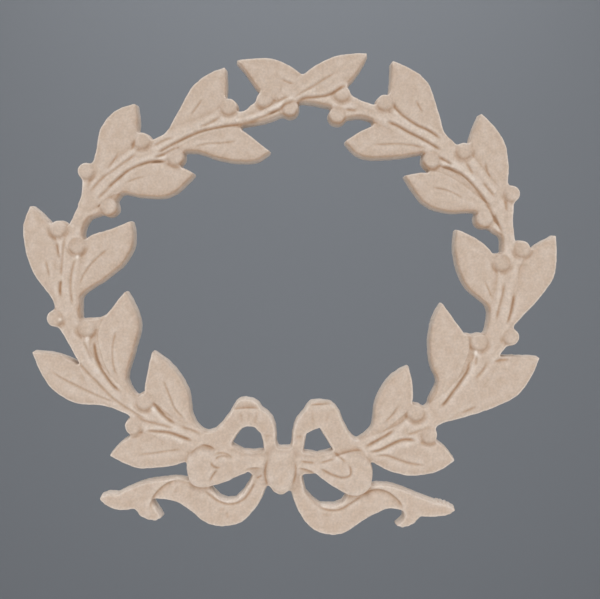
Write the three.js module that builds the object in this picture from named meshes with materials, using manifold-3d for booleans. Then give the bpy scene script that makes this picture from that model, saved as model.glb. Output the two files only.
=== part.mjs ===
import * as THREE from "three";
import Module from "manifold-3d";
import { mergeVertices } from "three/addons/utils/BufferGeometryUtils.js";

// Driving sizes in millimetres. The flat back lies in y = 0 and the carving faces -y. x runs to the right,
// z up, and the origin is on the back, behind the knot of the bow.
const WREATH_WIDTH = 177.3;
const LAYOUT_WIDTH = 177.3;
const LEAF_EDGE = 3.2;
const LEAF_SHOULDER = 4.5;
const LEAF_FACE = 5.2;
const LEAF_EDGE_INSET = 0.5;
const LEAF_SHOULDER_INSET = 1.6;
const LEAF_TIP_HALF = 0.5;
const RIB_DEPTH = 0.8;
const RIB_HALF = 0.7;
const BERRY_RADIUS = 3.0;
const BERRY_HEIGHT = 6.8;
const BERRY_WALL = 3.6;
const BERRY_SIDES = 9;
const STEM_HEIGHT = 5.6;
const STEM_WALL = 2.6;
const WEB_HEIGHT = 4.2;
const STRAND_HALF = 1.2;
const STRAND_HEIGHT = 6.1;
const STRAND_RUN = 13;
const RIBBON_EDGE = 3.4;
const RIBBON_SHOULDER = 4.8;
const RIBBON_FACE = 5.4;
const FRONT_RIBBON_LIFT = 1.1;
const KNOT_HEIGHT = 8.0;
const PAD_HEIGHT = 7.2;
const PAD_WALL = 4.4;
const FOLD_HALF = 0.8;
const BACK_ALLOWANCE = 1;

// Widths of a leaf are measured square to the line from its base to its tip, at these shares of that line.
const WIDTH_SHARES = [0, 0.2, 0.45, 0.7, 0.87, 1];

// Shares of a leaf's length at which its section is set out.
const LEAF_CUTS = [0, 0.2, 0.42, 0.58, 0.73, 0.88, 1];

// Each leaf: foot, tip, widths to the left of the line, widths to the right of it.
const LEFT_LEAVES = [
  [[-28.2, 6.7], [-56.5, 5.3], [2.5, 4.4, 5.2, 4.8, 2.6], [2.0, 4.9, 6.8, 6.6, 4.2]],
  [[-25.2, 12.0], [-41.8, 39.7], [3.0, 4.5, 6.8, 9.2, 4.6], [1.0, 0.0, 3.2, 3.6, 2.3]],
  [[-49.2, 19.7], [-82.6, 39.4], [1.5, 3.0, 7.4, 7.3, 4.1], [1.0, 1.8, 3.6, 4.6, 2.9]],
  [[-46.8, 22.0], [-51.2, 59.7], [3.0, 6.5, 9.8, 9.8, 5.4], [2.5, -2.6, 0.4, 3.6, 2.4]],
  [[-71.2, 50.7], [-82.8, 88.0], [1.0, 3.4, 6.3, 6.2, 4.4], [2.0, 3.0, 5.0, 5.6, 3.6]],
  [[-68.8, 50.0], [-49.2, 82.9], [3.0, 5.4, 9.0, 9.6, 4.2], [2.0, -1.2, 2.6, 5.4, 4.2]],
  [[-65.5, 87.3], [-47.8, 121.7], [2.0, 2.8, 4.5, 6.8, 5.0], [1.5, 2.0, 4.2, 5.8, 3.8]],
  [[-60.2, 89.3], [-28.4, 98.4], [3.0, 5.9, 8.2, 7.6, 4.4], [1.0, -0.6, 2.9, 4.9, 3.0]],
  [[-43.5, 106.0], [-18.2, 133.9], [1.6, 0.9, 2.5, 4.2, 2.9], [2.5, 4.6, 6.8, 8.2, 5.2]],
  [[-33.5, 106.0], [-3.2, 105.7], [2.5, 5.0, 7.6, 7.1, 3.4], [0.5, 0.6, 2.8, 3.7, 3.1]],
];
const RIGHT_LEAVES = [
  [[27.2, 7.3], [57.8, 3.7], [2.0, 3.7, 6.4, 6.3, 4.3], [2.0, 5.3, 7.1, 6.2, 3.9]],
  [[25.8, 10.0], [42.5, 34.8], [1.0, -0.8, 2.5, 3.5, 2.5], [2.5, 4.2, 6.6, 7.8, 4.5]],
  [[51.8, 16.7], [85.9, 37.7], [1.0, 2.2, 4.9, 7.7, 4.0], [1.4, 4.0, 6.4, 6.9, 3.9]],
  [[49.8, 20.0], [53.5, 55.8], [2.5, -1.5, 2.1, 3.2, 2.4], [2.5, 5.5, 9.0, 9.6, 4.5]],
  [[73.2, 45.0], [91.5, 78.1], [2.0, 4.1, 5.9, 5.8, 3.7], [1.5, 3.3, 5.9, 6.3, 3.5]],
  [[69.8, 46.7], [58.2, 80.1], [2.0, -1.1, 3.3, 3.9, 2.5], [2.5, 4.2, 8.2, 8.7, 5.2]],
  [[74.5, 85.0], [66.2, 118.4], [1.5, 2.2, 5.3, 6.7, 3.8], [1.5, 2.6, 5.2, 5.5, 3.2]],
  [[71.0, 85.5], [41.0, 97.8], [1.0, 2.6, 5.9, 6.3, 3.4], [1.0, 2.2, 4.5, 5.0, 3.1]],
  [[57.2, 104.3], [36.8, 135.8], [2.0, 4.6, 7.2, 8.3, 3.8], [1.5, 2.0, 4.7, 6.3, 3.7]],
  [[50.5, 106.7], [21.3, 109.0], [0.7, 2.6, 4.2, 5.0, 3.9], [2.5, 5.2, 7.3, 6.2, 3.5]],
];

// The two leaves that end the sprays and cross at the top.
const LEFT_END_LEAF = [[-0.2, 122.3], [28.9, 138.1], [2.0, 3.3, 5.0, 4.6, 2.7], [2.0, 3.4, 6.0, 5.8, 3.3]];
const RIGHT_END_LEAF = [[14.8, 124.0], [-14.6, 135.8], [2.0, 4.6, 7.3, 6.0, 2.5], [1.5, 3.0, 5.3, 5.0, 2.7]];

// Middles of the berries.
const LEFT_BERRIES = [
  [-44.8, 23.0], [-48.5, 15.0], [-64.2, 47.3], [-74.8, 50.7], [-73.7, 80.3], [-67.8, 75.0], [-56.6, 87.3],
  [-64.8, 99.7], [-45.6, 109.2], [-34.5, 103.9], [-17.0, 120.3], [-5.2, 122.7], [3.2, 120.0],
];
const RIGHT_BERRIES = [
  [45.2, 19.7], [49.0, 12.2], [65.8, 42.7], [76.1, 44.4], [73.2, 68.9], [80.5, 73.2], [67.2, 83.3],
  [76.8, 92.0], [49.8, 103.0], [60.5, 105.8], [34.5, 121.7], [20.3, 124.7], [18.8, 117.6],
];

// Stems from the bow to the top: x, z, half width.
const LEFT_STEM = [
  [-24, 9, 4], [-36.5, 13.7, 4], [-46.2, 19.7, 3], [-54.5, 25, 3.6], [-60.5, 31, 3.6], [-65.2, 37.3, 2.5],
  [-68.8, 45.7, 3.4], [-70.9, 53, 3.5], [-70.9, 60, 3.7], [-70.1, 67.7, 3.8], [-69.4, 75.3, 3.4],
  [-68.2, 81.3, 2.6], [-63.2, 89, 3], [-55.8, 96.7, 3.6], [-47.2, 103.3, 3.6], [-38.2, 108.3, 3.2],
  [-27.8, 113.4, 2.7], [-17.2, 115.9, 2.5], [-6.5, 117.9, 2.5], [1.5, 121, 2.2],
];
const RIGHT_STEM = [
  [24, 6, 4], [39.8, 11, 4.3], [49.5, 17.7, 4], [57.2, 23.7, 3.8], [63.5, 30.3, 3.8], [68.5, 38.3, 3.6],
  [71.5, 46.7, 3.4], [73.2, 54.7, 3.4], [75, 63.7, 3.2], [75.5, 73, 2.4], [74.9, 80.3, 2.3], [72.5, 88, 2.6],
  [66.5, 95.3, 3.2], [58.5, 103.3, 3.6], [49.2, 109.3, 3.6], [39.2, 115, 3.2], [30.5, 118.7, 2.7],
  [23.2, 120.9, 2.5], [15, 123, 2.3], [8, 124.2, 2], [2, 125.5, 1.5],
];

// Wood left standing between a stem and the feet of its leaves: x, z, half width.
const WEBS = [
  [[-30, 10.5, 3.5], [-36, 16.5, 4.2], [-41.5, 22, 3.4], [-44.5, 24.5, 1.5]],
  [[-34, 9.5, 2], [-40, 12.5, 2.2], [-46.5, 13.8, 1.8]],
  [[-61.3, 49.2, 2.4], [-59.6, 40, 4.2], [-52, 25, 3.2]],
  [[-75.5, 75, 2], [-73, 64, 3.2], [-71, 52, 3.4]],
  [[-58, 99.5, 3.4], [-51, 106.5, 3], [-46, 110, 1.5]],
  [[-58, 92.5, 3.2], [-48, 100, 3.2], [-37.5, 105.6, 3.5]],
  [[-34, 112.5, 2.8], [-28, 115.3, 2.4], [-22, 116.8, 1.5]],
  [[-9, 119.6, 1.8], [-2.5, 122, 2.4], [3.5, 123.2, 1.8]],
  [[30, 9, 3.5], [36, 14.5, 4], [41, 19, 3.4], [44, 20.5, 1.5]],
  [[62.5, 44.5, 2.4], [59, 35, 3.6], [52, 23, 3]],
  [[77, 70, 2], [75.5, 60, 3.4], [72.5, 48, 3.2]],
  [[72.5, 81, 2.6], [66, 90, 3.8], [60.5, 96, 3.6], [50.5, 101.3, 2.4]],
  [[36, 8, 2], [42, 9.5, 2], [47.5, 10.8, 1.8]],
  [[71.5, 95, 2.6], [66.5, 101, 3.2], [61.5, 105, 2]],
  [[55, 107.5, 3], [46, 114, 3.2], [38, 119, 2.6]],
];

// Ribbons of the bow: x, z, half width.
const BACK_RIBBONS = [
  [[-3.3, 4.5, 2.3], [-3.7, 11.3, 2.7], [-6.2, 16.8, 3.5], [-12.2, 18.9, 5.3], [-16.9, 14.3, 3.7],
    [-20.5, 10, 3.9], [-25.2, 5, 4]],
  [[5.7, 5.2, 2.4], [6.3, 11.6, 2.7], [8.6, 15.7, 3.9], [13.2, 18.3, 4.8], [17.3, 14.9, 3.6],
    [20.2, 9, 3.9], [24.8, 5, 4]],
  [[-4, 0.9, 4], [-7.3, -2.9, 3.7], [-9.5, -8.3, 3.5], [-14.8, -13.7, 3.9], [-22, -13.2, 4.7],
    [-27.2, -9.7, 4.3], [-32.8, -6.3, 4.3], [-38.5, -5.8, 3.6], [-44.5, -6.6, 3.3], [-49.5, -9, 3.7],
    [-53.5, -10, 3], [-57, -9.2, 2.2], [-58.4, -9, 1.5]],
  [[-45.8, -9, 3.5], [-44.4, -12.2, 3.3], [-42, -14.1, 2.4], [-40.5, -14.9, 1.5], [-39.8, -15, 0.9]],
  [[3.2, 0.5, 3.2], [5.4, -4.6, 2.7], [7.8, -10.7, 3], [12.5, -15.7, 4], [18.3, -16.3, 4.9],
    [24, -13.2, 4.6], [29.4, -9.6, 5.1], [35.2, -8.3, 4.2], [41.2, -9.7, 3.6], [46.5, -11.6, 3.4],
    [52.5, -12.6, 2.5], [55.6, -12.6, 1.8], [57, -12.5, 1.1]],
  [[43.7, -12.2, 3.4], [43, -15.2, 2.5], [41, -17, 1.6], [39.2, -17.6, 1], [38.7, -17.7, 0.6]],
];
const FRONT_RIBBONS = [
  [[-3.2, 3.3, 2.9], [-11, 2.9, 3.3], [-14.4, 2.4, 4.4], [-19, 1.6, 5.7], [-24.6, 1.5, 6.4]],
  [[4.2, 2.5, 3.2], [11.8, 2, 3.5], [16.8, 0.9, 5.6], [20.8, -0.8, 6.3], [23.8, -1, 6.8]],
];

// Rounded turns at the ends of the front ribbons: middle, half width, half height.
const TURNS = [[[-26, 1.4], 5, 7], [[25, -0.9], 5.6, 7.1]];

// The knot from its flat top to its rounded foot: x, z, half width, share of the full height.
const KNOT = [
  [0.4, 8, 3.4, 0.6], [0.3, 6, 4.5, 0.85], [0.2, 2.5, 5, 0.97], [0, -1, 5, 1], [-0.2, -4, 4.2, 0.95],
  [-0.4, -6.2, 2.9, 0.8], [-0.5, -7.8, 1.2, 0.6],
];

// Folds raised on the ribbons: x and z along each ridge.
const FOLDS = [
  [[-17, 5.6], [-19.6, 6], [-22, 4.9], [-22.8, 2.4]],
  [[-6, 5], [-11, 4.4], [-17.5, 4.2], [-20.5, 2.6]],
  [[-6, 2.4], [-12, 1.4], [-17, -0.6], [-22, -3.4]],
  [[7, 4], [12, 4.2], [16.2, 5], [20.5, 3.2], [23, 0.4]],
  [[7, 2.2], [12, 1.6], [16.6, -0.4], [21, -2.8]],
  [[-26.2, -9], [-29.4, -5.6], [-34.5, -4], [-39.2, -5.6], [-42, -9.4], [-42.8, -12.5]],
  [[24.4, -9.8], [28.6, -7.4], [33.5, -6.6], [38, -8.2], [40.6, -11.6], [41.4, -14.5]],
];

const WOOD = { color: 0xd9bea2, roughness: 0.78, metalness: 0 };

const wasm = await Module();
wasm.setup();

const grow = WREATH_WIDTH / LAYOUT_WIDTH;

// A smooth curve through values at given stations.
function through(stations, values) {
  const last = stations.length - 1;
  const step = (i) => stations[i + 1] - stations[i];
  const rise = (i) => (values[i + 1] - values[i]) / step(i);
  const slopes = values.map((_, i) => {
    if (i === 0 || i === last) return 0;
    return (rise(i - 1) * step(i) + rise(i) * step(i - 1)) / (step(i) + step(i - 1));
  });
  slopes[0] = 1.5 * rise(0) - 0.5 * (slopes[1] || rise(0));
  slopes[last] = 1.5 * rise(last - 1) - 0.5 * (slopes[last - 1] || rise(last - 1));
  return (q) => {
    let i = 0;
    while (i < last - 1 && q > stations[i + 1]) i += 1;
    const t = Math.min(1, Math.max(0, (q - stations[i]) / step(i)));
    const h = step(i);
    const from = values[i] * (1 + 2 * t) * (1 - t) ** 2 + h * slopes[i] * t * (1 - t) ** 2;
    const to = values[i + 1] * t * t * (3 - 2 * t) + h * slopes[i + 1] * t * t * (t - 1);
    return from + to;
  };
}

// A line through rows of x, z and further values, measured along its length.
function course(rows) {
  const lengths = [0];
  for (let i = 1; i < rows.length; i += 1) {
    const gap = Math.hypot(rows[i][0] - rows[i - 1][0], rows[i][1] - rows[i - 1][1]);
    lengths.push(lengths[i - 1] + gap);
  }
  const parts = rows[0].map((_, k) => through(lengths, rows.map((row) => row[k])));
  const length = lengths[lengths.length - 1];
  const at = (s) => parts.map((part) => part(s));
  const heading = (s) => {
    const a = at(Math.max(0, s - 0.05));
    const b = at(Math.min(length, s + 0.05));
    const size = Math.hypot(b[0] - a[0], b[1] - a[1]);
    return [(b[0] - a[0]) / size, (b[1] - a[1]) / size];
  };
  // How sharply the line turns to its left at a place, as one over the radius.
  const bend = (s) => {
    const reach = Math.min(1.5, length / 4);
    const a = heading(Math.max(0, s - reach));
    const b = heading(Math.min(length, s + reach));
    return Math.asin(Math.max(-1, Math.min(1, a[0] * b[1] - a[1] * b[0]))) / (2 * reach);
  };
  return { length, at, heading, bend };
}

// A closed solid over rings of [x, y, z] that have the same number of points.
function loft(rings) {
  const count = rings[0].length;
  const points = rings.flat();
  const faces = [];
  for (let i = 0; i + 1 < rings.length; i += 1) {
    for (let j = 0; j < count; j += 1) {
      const a = i * count + j;
      const b = i * count + ((j + 1) % count);
      faces.push(a, b, a + count, b, b + count, a + count);
    }
  }
  const cap = (ring, first, flip) => {
    const middle = [0, 1, 2].map((k) => ring.reduce((sum, p) => sum + p[k], 0) / count);
    points.push(middle);
    for (let j = 0; j < count; j += 1) {
      const pair = [first + j, first + ((j + 1) % count)];
      faces.push(points.length - 1, ...(flip ? pair.reverse() : pair));
    }
  };
  cap(rings[0], 0, true);
  cap(rings[rings.length - 1], (rings.length - 1) * count, false);
  return solid(points, faces);
}

function solid(points, faces) {
  let volume = 0;
  for (let i = 0; i < faces.length; i += 3) {
    const [a, b, c] = [points[faces[i]], points[faces[i + 1]], points[faces[i + 2]]];
    volume += a[0] * (b[1] * c[2] - b[2] * c[1]) - a[1] * (b[0] * c[2] - b[2] * c[0])
      + a[2] * (b[0] * c[1] - b[1] * c[0]);
  }
  if (volume < 0) faces.reverse();
  const mesh = new wasm.Mesh({
    numProp: 3,
    vertProperties: new Float32Array(points.flat()),
    triVerts: new Uint32Array(faces),
  });
  return new wasm.Manifold(mesh);
}

// A ring across a strip: each [v, y] is put at v square to the heading, from the point x, z. On the inside
// of a tight bend the ring stops short of the middle of the bend.
function across(x, z, heading, profile, bend = 0) {
  const limit = 0.85 / Math.max(1e-6, Math.abs(bend));
  return profile.map(([v, y]) => {
    const reach = v * bend > 0 ? Math.sign(v) * Math.min(Math.abs(v), limit) : v;
    return [(x - heading[1] * reach) * grow, y, (z + heading[0] * reach) * grow];
  });
}

// Profile of a leaf between its two edges, with the groove of the rib.
function leafProfile(left, right, groove, lift) {
  const middle = (left - right) / 2;
  const half = (left + right) / 2;
  const body = Math.min(1, half / (2 * LEAF_SHOULDER_INSET));
  const edge = Math.min(LEAF_EDGE_INSET, half * 0.3);
  const shoulder = Math.min(LEAF_SHOULDER_INSET, half * 0.6);
  const rib = Math.min(RIB_HALF, half * 0.2);
  const flare = edge * BACK_ALLOWANCE / LEAF_EDGE;
  const top = LEAF_EDGE + (LEAF_FACE - LEAF_EDGE) * body + lift;
  const side = LEAF_EDGE + (LEAF_SHOULDER - LEAF_EDGE) * body + lift;
  return [
    [middle + half + flare, BACK_ALLOWANCE],
    [middle + half - edge, -LEAF_EDGE - lift],
    [middle + half - shoulder, -side],
    [middle + rib, -top],
    [middle, -top + groove],
    [middle - rib, -top],
    [middle - half + shoulder, -side],
    [middle - half + edge, -LEAF_EDGE - lift],
    [middle - half - flare, BACK_ALLOWANCE],
  ];
}

function leaf([foot, tip, leftWidths, rightWidths], lift = 0) {
  const run = Math.hypot(tip[0] - foot[0], tip[1] - foot[1]);
  const heading = [(tip[0] - foot[0]) / run, (tip[1] - foot[1]) / run];
  const left = through(WIDTH_SHARES, [...leftWidths, LEAF_TIP_HALF]);
  const right = through(WIDTH_SHARES, [...rightWidths, LEAF_TIP_HALF]);
  const rings = LEAF_CUTS.map((share) => {
    const fade = Math.min(1, Math.max(0, (0.86 - share) / 0.3)) * Math.min(1, 0.3 + share * 3);
    const profile = leafProfile(left(share), right(share), RIB_DEPTH * fade, lift);
    return across(foot[0] + heading[0] * run * share, foot[1] + heading[1] * run * share, heading, profile);
  });
  return loft(rings);
}

// A strand along a course, with upright walls and a roof that is ridged or, for a wide one, rounded.
function strand(line, steps, height, ridged, half) {
  const rings = [];
  const rise = height - STEM_WALL;
  for (let i = 0; i <= steps; i += 1) {
    const s = line.length * i / steps;
    const [x, z, width] = line.at(s);
    const w = half ?? width;
    const flank = ridged ? [] : [[w * 0.68, -STEM_WALL - rise * 0.72]];
    rings.push(across(x, z, line.heading(s), [
      [w, BACK_ALLOWANCE], [w, -STEM_WALL], ...flank, [0, -height], ...flank.map(([v, y]) => [-v, y]),
      [-w, -STEM_WALL], [-w, BACK_ALLOWANCE],
    ], line.bend(s)));
  }
  return loft(rings);
}

function ribbon(rows, lift) {
  const line = course(rows);
  const steps = Math.round(line.length / 3);
  const rings = [];
  for (let i = 0; i <= steps; i += 1) {
    const s = line.length * i / steps;
    const [x, z, w] = line.at(s);
    const low = Math.min(1, w / 2);
    const shoulder = Math.min(1.3, w * 0.5);
    const face = (RIBBON_FACE + lift - RIBBON_EDGE) * low + RIBBON_EDGE;
    const side = (RIBBON_SHOULDER + lift - RIBBON_EDGE) * low + RIBBON_EDGE;
    rings.push(across(x, z, line.heading(s), [
      [w, BACK_ALLOWANCE], [w - shoulder * 0.3, -RIBBON_EDGE], [w - shoulder, -side], [0, -face],
      [-w + shoulder, -side], [-w + shoulder * 0.3, -RIBBON_EDGE], [-w, BACK_ALLOWANCE],
    ], line.bend(s)));
  }
  return loft(rings);
}

// A dome with an upright wall, over an oval.
function dome([x, z], halfWidth, halfHeight, wall, height, sides) {
  const levels = [[1, -BACK_ALLOWANCE], [1, wall], [0.66, wall + (height - wall) * 0.78]];
  const rings = levels.map(([share, level]) => Array.from({ length: sides }, (_, k) => {
    const turn = 2 * Math.PI * k / sides;
    const across = share * halfWidth * Math.cos(turn);
    const up = share * halfHeight * Math.sin(turn);
    return [(x + across) * grow, -level, (z + up) * grow];
  }));
  const points = rings.flat();
  const faces = [];
  for (let i = 0; i + 1 < rings.length; i += 1) {
    for (let j = 0; j < sides; j += 1) {
      const a = i * sides + j;
      const b = i * sides + ((j + 1) % sides);
      faces.push(a, b, a + sides, b, b + sides, a + sides);
    }
  }
  points.push([x * grow, BACK_ALLOWANCE, z * grow], [x * grow, -height, z * grow]);
  for (let j = 0; j < sides; j += 1) {
    const next = (j + 1) % sides;
    const top = (rings.length - 1) * sides;
    faces.push(points.length - 2, next, j);
    faces.push(points.length - 1, top + j, top + next);
  }
  return solid(points, faces);
}

// The place on a stem nearest to a point, and the side of the stem that the point is on.
function nearest(stem, [x, z]) {
  let best = { gap: Infinity };
  for (let s = 0; s <= stem.length; s += 0.5) {
    const [cx, cz] = stem.at(s);
    const gap = Math.hypot(x - cx, z - cz);
    if (gap < best.gap) best = { gap, s, heading: stem.heading(s), dx: x - cx, dz: z - cz };
  }
  best.side = best.heading[0] * best.dz - best.heading[1] * best.dx > 0 ? 1 : -1;
  return best;
}

// A stalk that leaves a point, joins the stem and runs down along it.
function stalk(stem, point, run, wide) {
  const join = nearest(stem, point);
  const beside = (back, share) => {
    const s = Math.max(0.5, join.s - back);
    const [x, z, w] = stem.at(s);
    const [hx, hz] = stem.heading(s);
    return [x - hz * w * share * join.side, z + hx * w * share * join.side];
  };
  const near = beside(run * 0.5, 0.6);
  const end = beside(run, 0.45);
  const line = course([point, [(point[0] + near[0]) / 2, (point[1] + near[1]) / 2], near, end]);
  return strand(line, 3, STRAND_HEIGHT, true, wide);
}

function spray(stemRows, leaves, berries) {
  const stem = course(stemRows);
  const steps = Math.round(stem.length / 8);
  const parts = [strand(stem, steps, STEM_HEIGHT, false)];
  parts.push(...leaves.map((row) => leaf(row)));
  for (const place of berries) {
    parts.push(dome(place, BERRY_RADIUS, BERRY_RADIUS, BERRY_WALL, BERRY_HEIGHT, BERRY_SIDES));
    parts.push(stalk(stem, place, STRAND_RUN, STRAND_HALF));
  }
  return parts;
}

function knot() {
  const line = course(KNOT);
  const rings = [];
  for (let i = 0; i <= 7; i += 1) {
    const s = line.length * i / 7;
    const [x, z, w, share] = line.at(s);
    const height = KNOT_HEIGHT * share;
    rings.push(across(x, z, line.heading(s), [
      [w, BACK_ALLOWANCE], [w, -height * 0.6], [w * 0.78, -height * 0.84], [w * 0.4, -height * 0.97],
      [-w * 0.4, -height * 0.97], [-w * 0.78, -height * 0.84], [-w, -height * 0.6], [-w, BACK_ALLOWANCE],
    ]));
  }
  return loft(rings);
}

function bow() {
  const parts = BACK_RIBBONS.map((rows) => ribbon(rows, 0));
  parts.push(...FRONT_RIBBONS.map((rows) => ribbon(rows, FRONT_RIBBON_LIFT)));
  parts.push(...TURNS.map(([place, wide, high]) => dome(place, wide, high, PAD_WALL, PAD_HEIGHT, 18)));
  parts.push(...FOLDS.map((rows, i) => {
    const lift = i < 5 ? FRONT_RIBBON_LIFT : 0.3;
    return strand(course(rows), 5, RIBBON_FACE + lift + 0.5, true, FOLD_HALF);
  }));
  parts.push(knot());
  return parts;
}

function join(parts) {
  let level = parts;
  while (level.length > 1) {
    const next = [];
    for (let i = 0; i < level.length; i += 2) {
      next.push(i + 1 < level.length ? level[i].add(level[i + 1]) : level[i]);
    }
    level = next;
  }
  return level[0];
}

// The slab behind the wreath that trims everything flush at the back.
function behind() {
  const reach = WREATH_WIDTH;
  const ring = (y) => [[-reach, y, -reach], [reach, y, -reach], [reach, y, reach], [-reach, y, reach]];
  return loft([ring(0), ring(4 * BACK_ALLOWANCE)]);
}

const pieces = [
  ...spray(LEFT_STEM, LEFT_LEAVES, LEFT_BERRIES),
  ...spray(RIGHT_STEM, RIGHT_LEAVES, RIGHT_BERRIES),
  leaf(RIGHT_END_LEAF, 0),
  leaf(LEFT_END_LEAF, 0.6),
  ...WEBS.map((rows) => strand(course(rows), 3, WEB_HEIGHT, true)),
  ...bow(),
];
const carved = join(pieces).subtract(behind()).getMesh();

let geometry = new THREE.BufferGeometry();
geometry.setAttribute("position", new THREE.BufferAttribute(new Float32Array(carved.vertProperties), 3));
geometry.setIndex(new THREE.BufferAttribute(new Uint32Array(carved.triVerts), 1));
geometry = mergeVertices(geometry, 1e-4);
geometry.computeVertexNormals();

const wreath = new THREE.Mesh(geometry, new THREE.MeshStandardMaterial(WOOD));
wreath.name = "wreath";

const group = new THREE.Group();
group.name = "wood_wreath_ornament";
group.add(wreath);
export default group;
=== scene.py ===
import math

import bpy
import numpy as np
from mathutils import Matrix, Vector
from mathutils.geometry import delaunay_2d_cdt


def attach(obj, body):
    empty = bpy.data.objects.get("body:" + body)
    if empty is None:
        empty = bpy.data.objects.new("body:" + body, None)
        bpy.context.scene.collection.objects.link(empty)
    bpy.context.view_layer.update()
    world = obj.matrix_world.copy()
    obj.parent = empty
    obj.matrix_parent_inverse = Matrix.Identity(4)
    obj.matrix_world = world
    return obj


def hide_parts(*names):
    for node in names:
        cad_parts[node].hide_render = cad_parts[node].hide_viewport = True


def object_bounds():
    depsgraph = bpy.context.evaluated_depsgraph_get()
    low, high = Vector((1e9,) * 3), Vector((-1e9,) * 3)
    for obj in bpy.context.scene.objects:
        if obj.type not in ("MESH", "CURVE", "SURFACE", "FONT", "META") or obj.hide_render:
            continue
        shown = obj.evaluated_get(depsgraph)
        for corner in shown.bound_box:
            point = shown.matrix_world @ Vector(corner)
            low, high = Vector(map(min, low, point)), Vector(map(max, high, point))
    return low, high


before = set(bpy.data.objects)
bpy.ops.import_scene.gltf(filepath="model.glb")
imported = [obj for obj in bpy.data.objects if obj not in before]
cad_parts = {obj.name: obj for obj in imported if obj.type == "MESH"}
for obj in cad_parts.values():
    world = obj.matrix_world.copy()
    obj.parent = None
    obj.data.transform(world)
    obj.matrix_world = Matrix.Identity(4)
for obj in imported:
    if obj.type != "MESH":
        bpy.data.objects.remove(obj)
cad_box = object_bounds()

# The carving is worked out in millimetres as heights above the flat back: x to the right, z up. One grid of
# distances in from the outline and one of heights hold the whole wreath, and a mesh is laid over them.
MM = 0.001
PITCH = 0.25
MARGIN = 1.5
NEAR_REACH = 2.0
WIDE_REACH = 3.0
FAR = 50.0
LOW, HIGH = (np.array(corner) / MM for corner in cad_box)
TRIANGLES = 185000
SEED = 7

# Faces that point back by more than this are shaded flat.
BACK_NORMAL = 0.9

# Small numbers that keep a division or a test safe.
TINY = 1e-6
TINY_SIDE = 1e-12
TINY_STEP = 1e-9
LEAST_SLOPE = 0.2
LEAST_STEEPNESS = 0.5

# Share of the pitch within which a node of the grid is moved onto the outline.
SNAP = 0.3

# Points every so often along a strip, a stem and a groove.
STRIP_SPACING = 1.5
STEM_SPACING = 0.5
GROOVE_SPACING = 0.8

# Reach and height of the waves in the outline, in the face and in its grain.
OUTLINE_WAVES = (0.6, 0.04)
FACE_WAVES = (1.5, 0.04)
FACE_GRAIN = (0.4, 0.012)

# The side of the wreath leans in a little and turns over into the face.
WALL_LEAN = 0.45
EDGE_TURN = 0.55
WALL_REACH = 2.0
WALL_TOP = 3.2

# The tone says how light the wood is painted, and grows with the height above what lies round a place: a
# painted shade in grooves and hollows, partly the browner colour the wood has there, and a painted highlight
# on rises.
# Outer edges get a painted highlight and the sides a painted light, and edges that face the middle are
# browner with painted shade, least so where they face up to the light.
TONE_REACH = 1.3
WALL_PAINTED_LIGHT = 0.4
OUTER_EDGE_PAINTED_HIGHLIGHT = 0.4
INNER_EDGE_PAINTED_SHADE = -0.22
EDGE_BAND = 0.2
EDGE_BAND_HALF = 0.5
MIDDLE = (4.0, 62.0)
UP_EDGE_SHARE = 0.4
UP_EDGE_SLOPE = 0.7
BOW_EDGE_SHARE = 0.6

# How softly shapes run into each other, how steeply a face falls away outside its own outline, and the reach
# of the smoothing of the bow.
OUTLINE_FILLET = 0.7
FACE_FILLET = 0.4
STEM_FILLET = 0.6
STALK_FILLET = 0.5
BERRY_FILLET = 1.1
BURR_FILLET = 0.15
BOW_FILLET = 0.3
PART_FILLET = 0.9
LAYER_FILLET = 0.2
FALL = 2.0
LAYER_FALL = 4.0
SOFTENING = 0.5

# Heights of the face above the back, and what shapes them.
WEB_FACE = 4.5
GROUND_DROP = 0.3
LEAF_FACE = 4.7
LEAF_CROWN = 0.35
LEAF_CROWN_START = 0.5
LEAF_CROWN_RUN = 5.0
LEAF_TIP_HALF = 0.4
LEAF_STEPS = 36
STEM_FACE = 4.75
STEM_CROWN = 0.35
TOP_LIFT = 0.2
BERRY_RADIUS = 3.15
BERRY_FOOT = 4.8
BERRY_RISE = 0.9
BERRY_DIP = 0.25
BERRY_BRIM = 0.2
BERRY_EDGE = 0.9
BERRY_FULLNESS = 1.5
BERRY_LOWER_RUN = 3.75
BERRY_LOWER_START = 0.35
BERRY_SIDE_RUN = 1.2
BERRY_MOAT = 0.24
BERRY_MOAT_HALF = 0.55
# The painted shadow on the lower flank of a berry: how far inside its edge it lies and its half width, then
# how dark it is, also in the moat.
BERRY_FLANK = 0.4
BERRY_FLANK_HALF = 0.7
BERRY_PAINTED_SHADOW = 0.1
STALK_END_SIZE = 0.6
STALK_END_RISE = 0.35
STALK_END_TONE = 0.25
STALK_HALF = 1.2
STALK_CROWN = 0.3
BACK_RIBBON_FACE = 5.1
RIBBON_HOLLOW = 0.25
LONG_RIBBON = 5
FRONT_RIBBON_FACE = 6.1
RIBBON_TURN = 1.8
TURN_SWELL = 0.75
KNOT_FACE = 7.2
KNOT_STEP = 0.2
KNOT_TURN = 3.2
KNOT_HALF = 4.5
KNOT_SWELL = 0.5

# Where a stalk joins its stem and where it ends: how far down the stem, and the share of the way to its edge.
STALK_JOIN = (7.5, 0.6)
STALK_FOOT = (15.0, 0.4)

# A fold goes down by its depth at the line and comes back up over its run.
FOLD_DEPTH = 0.6
FOLD_RUN = 1.3
FOLD_LINE = 0.1
FOLD_EDGE = 0.5
FOLD_END_SLOPE = 0.7
FOLD_END_SLACK = 0.4

# Grooves and folds fade out over this length at their ends, or over one of so many parts of a short one.
END_FADE = 3.0
GROOVE_PARTS = 3
FOLD_PARTS = 2.2

# Depth and half width of each kind of groove.
DEEP_CUT = (0.64, 0.52)
SOFT_CUT = (0.38, 0.48)
RIB_CUT = (0.3, 0.38)
CREASE_CUT = (0.42, 0.4)
FAINT_CUT = (0.16, 0.55)

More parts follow.
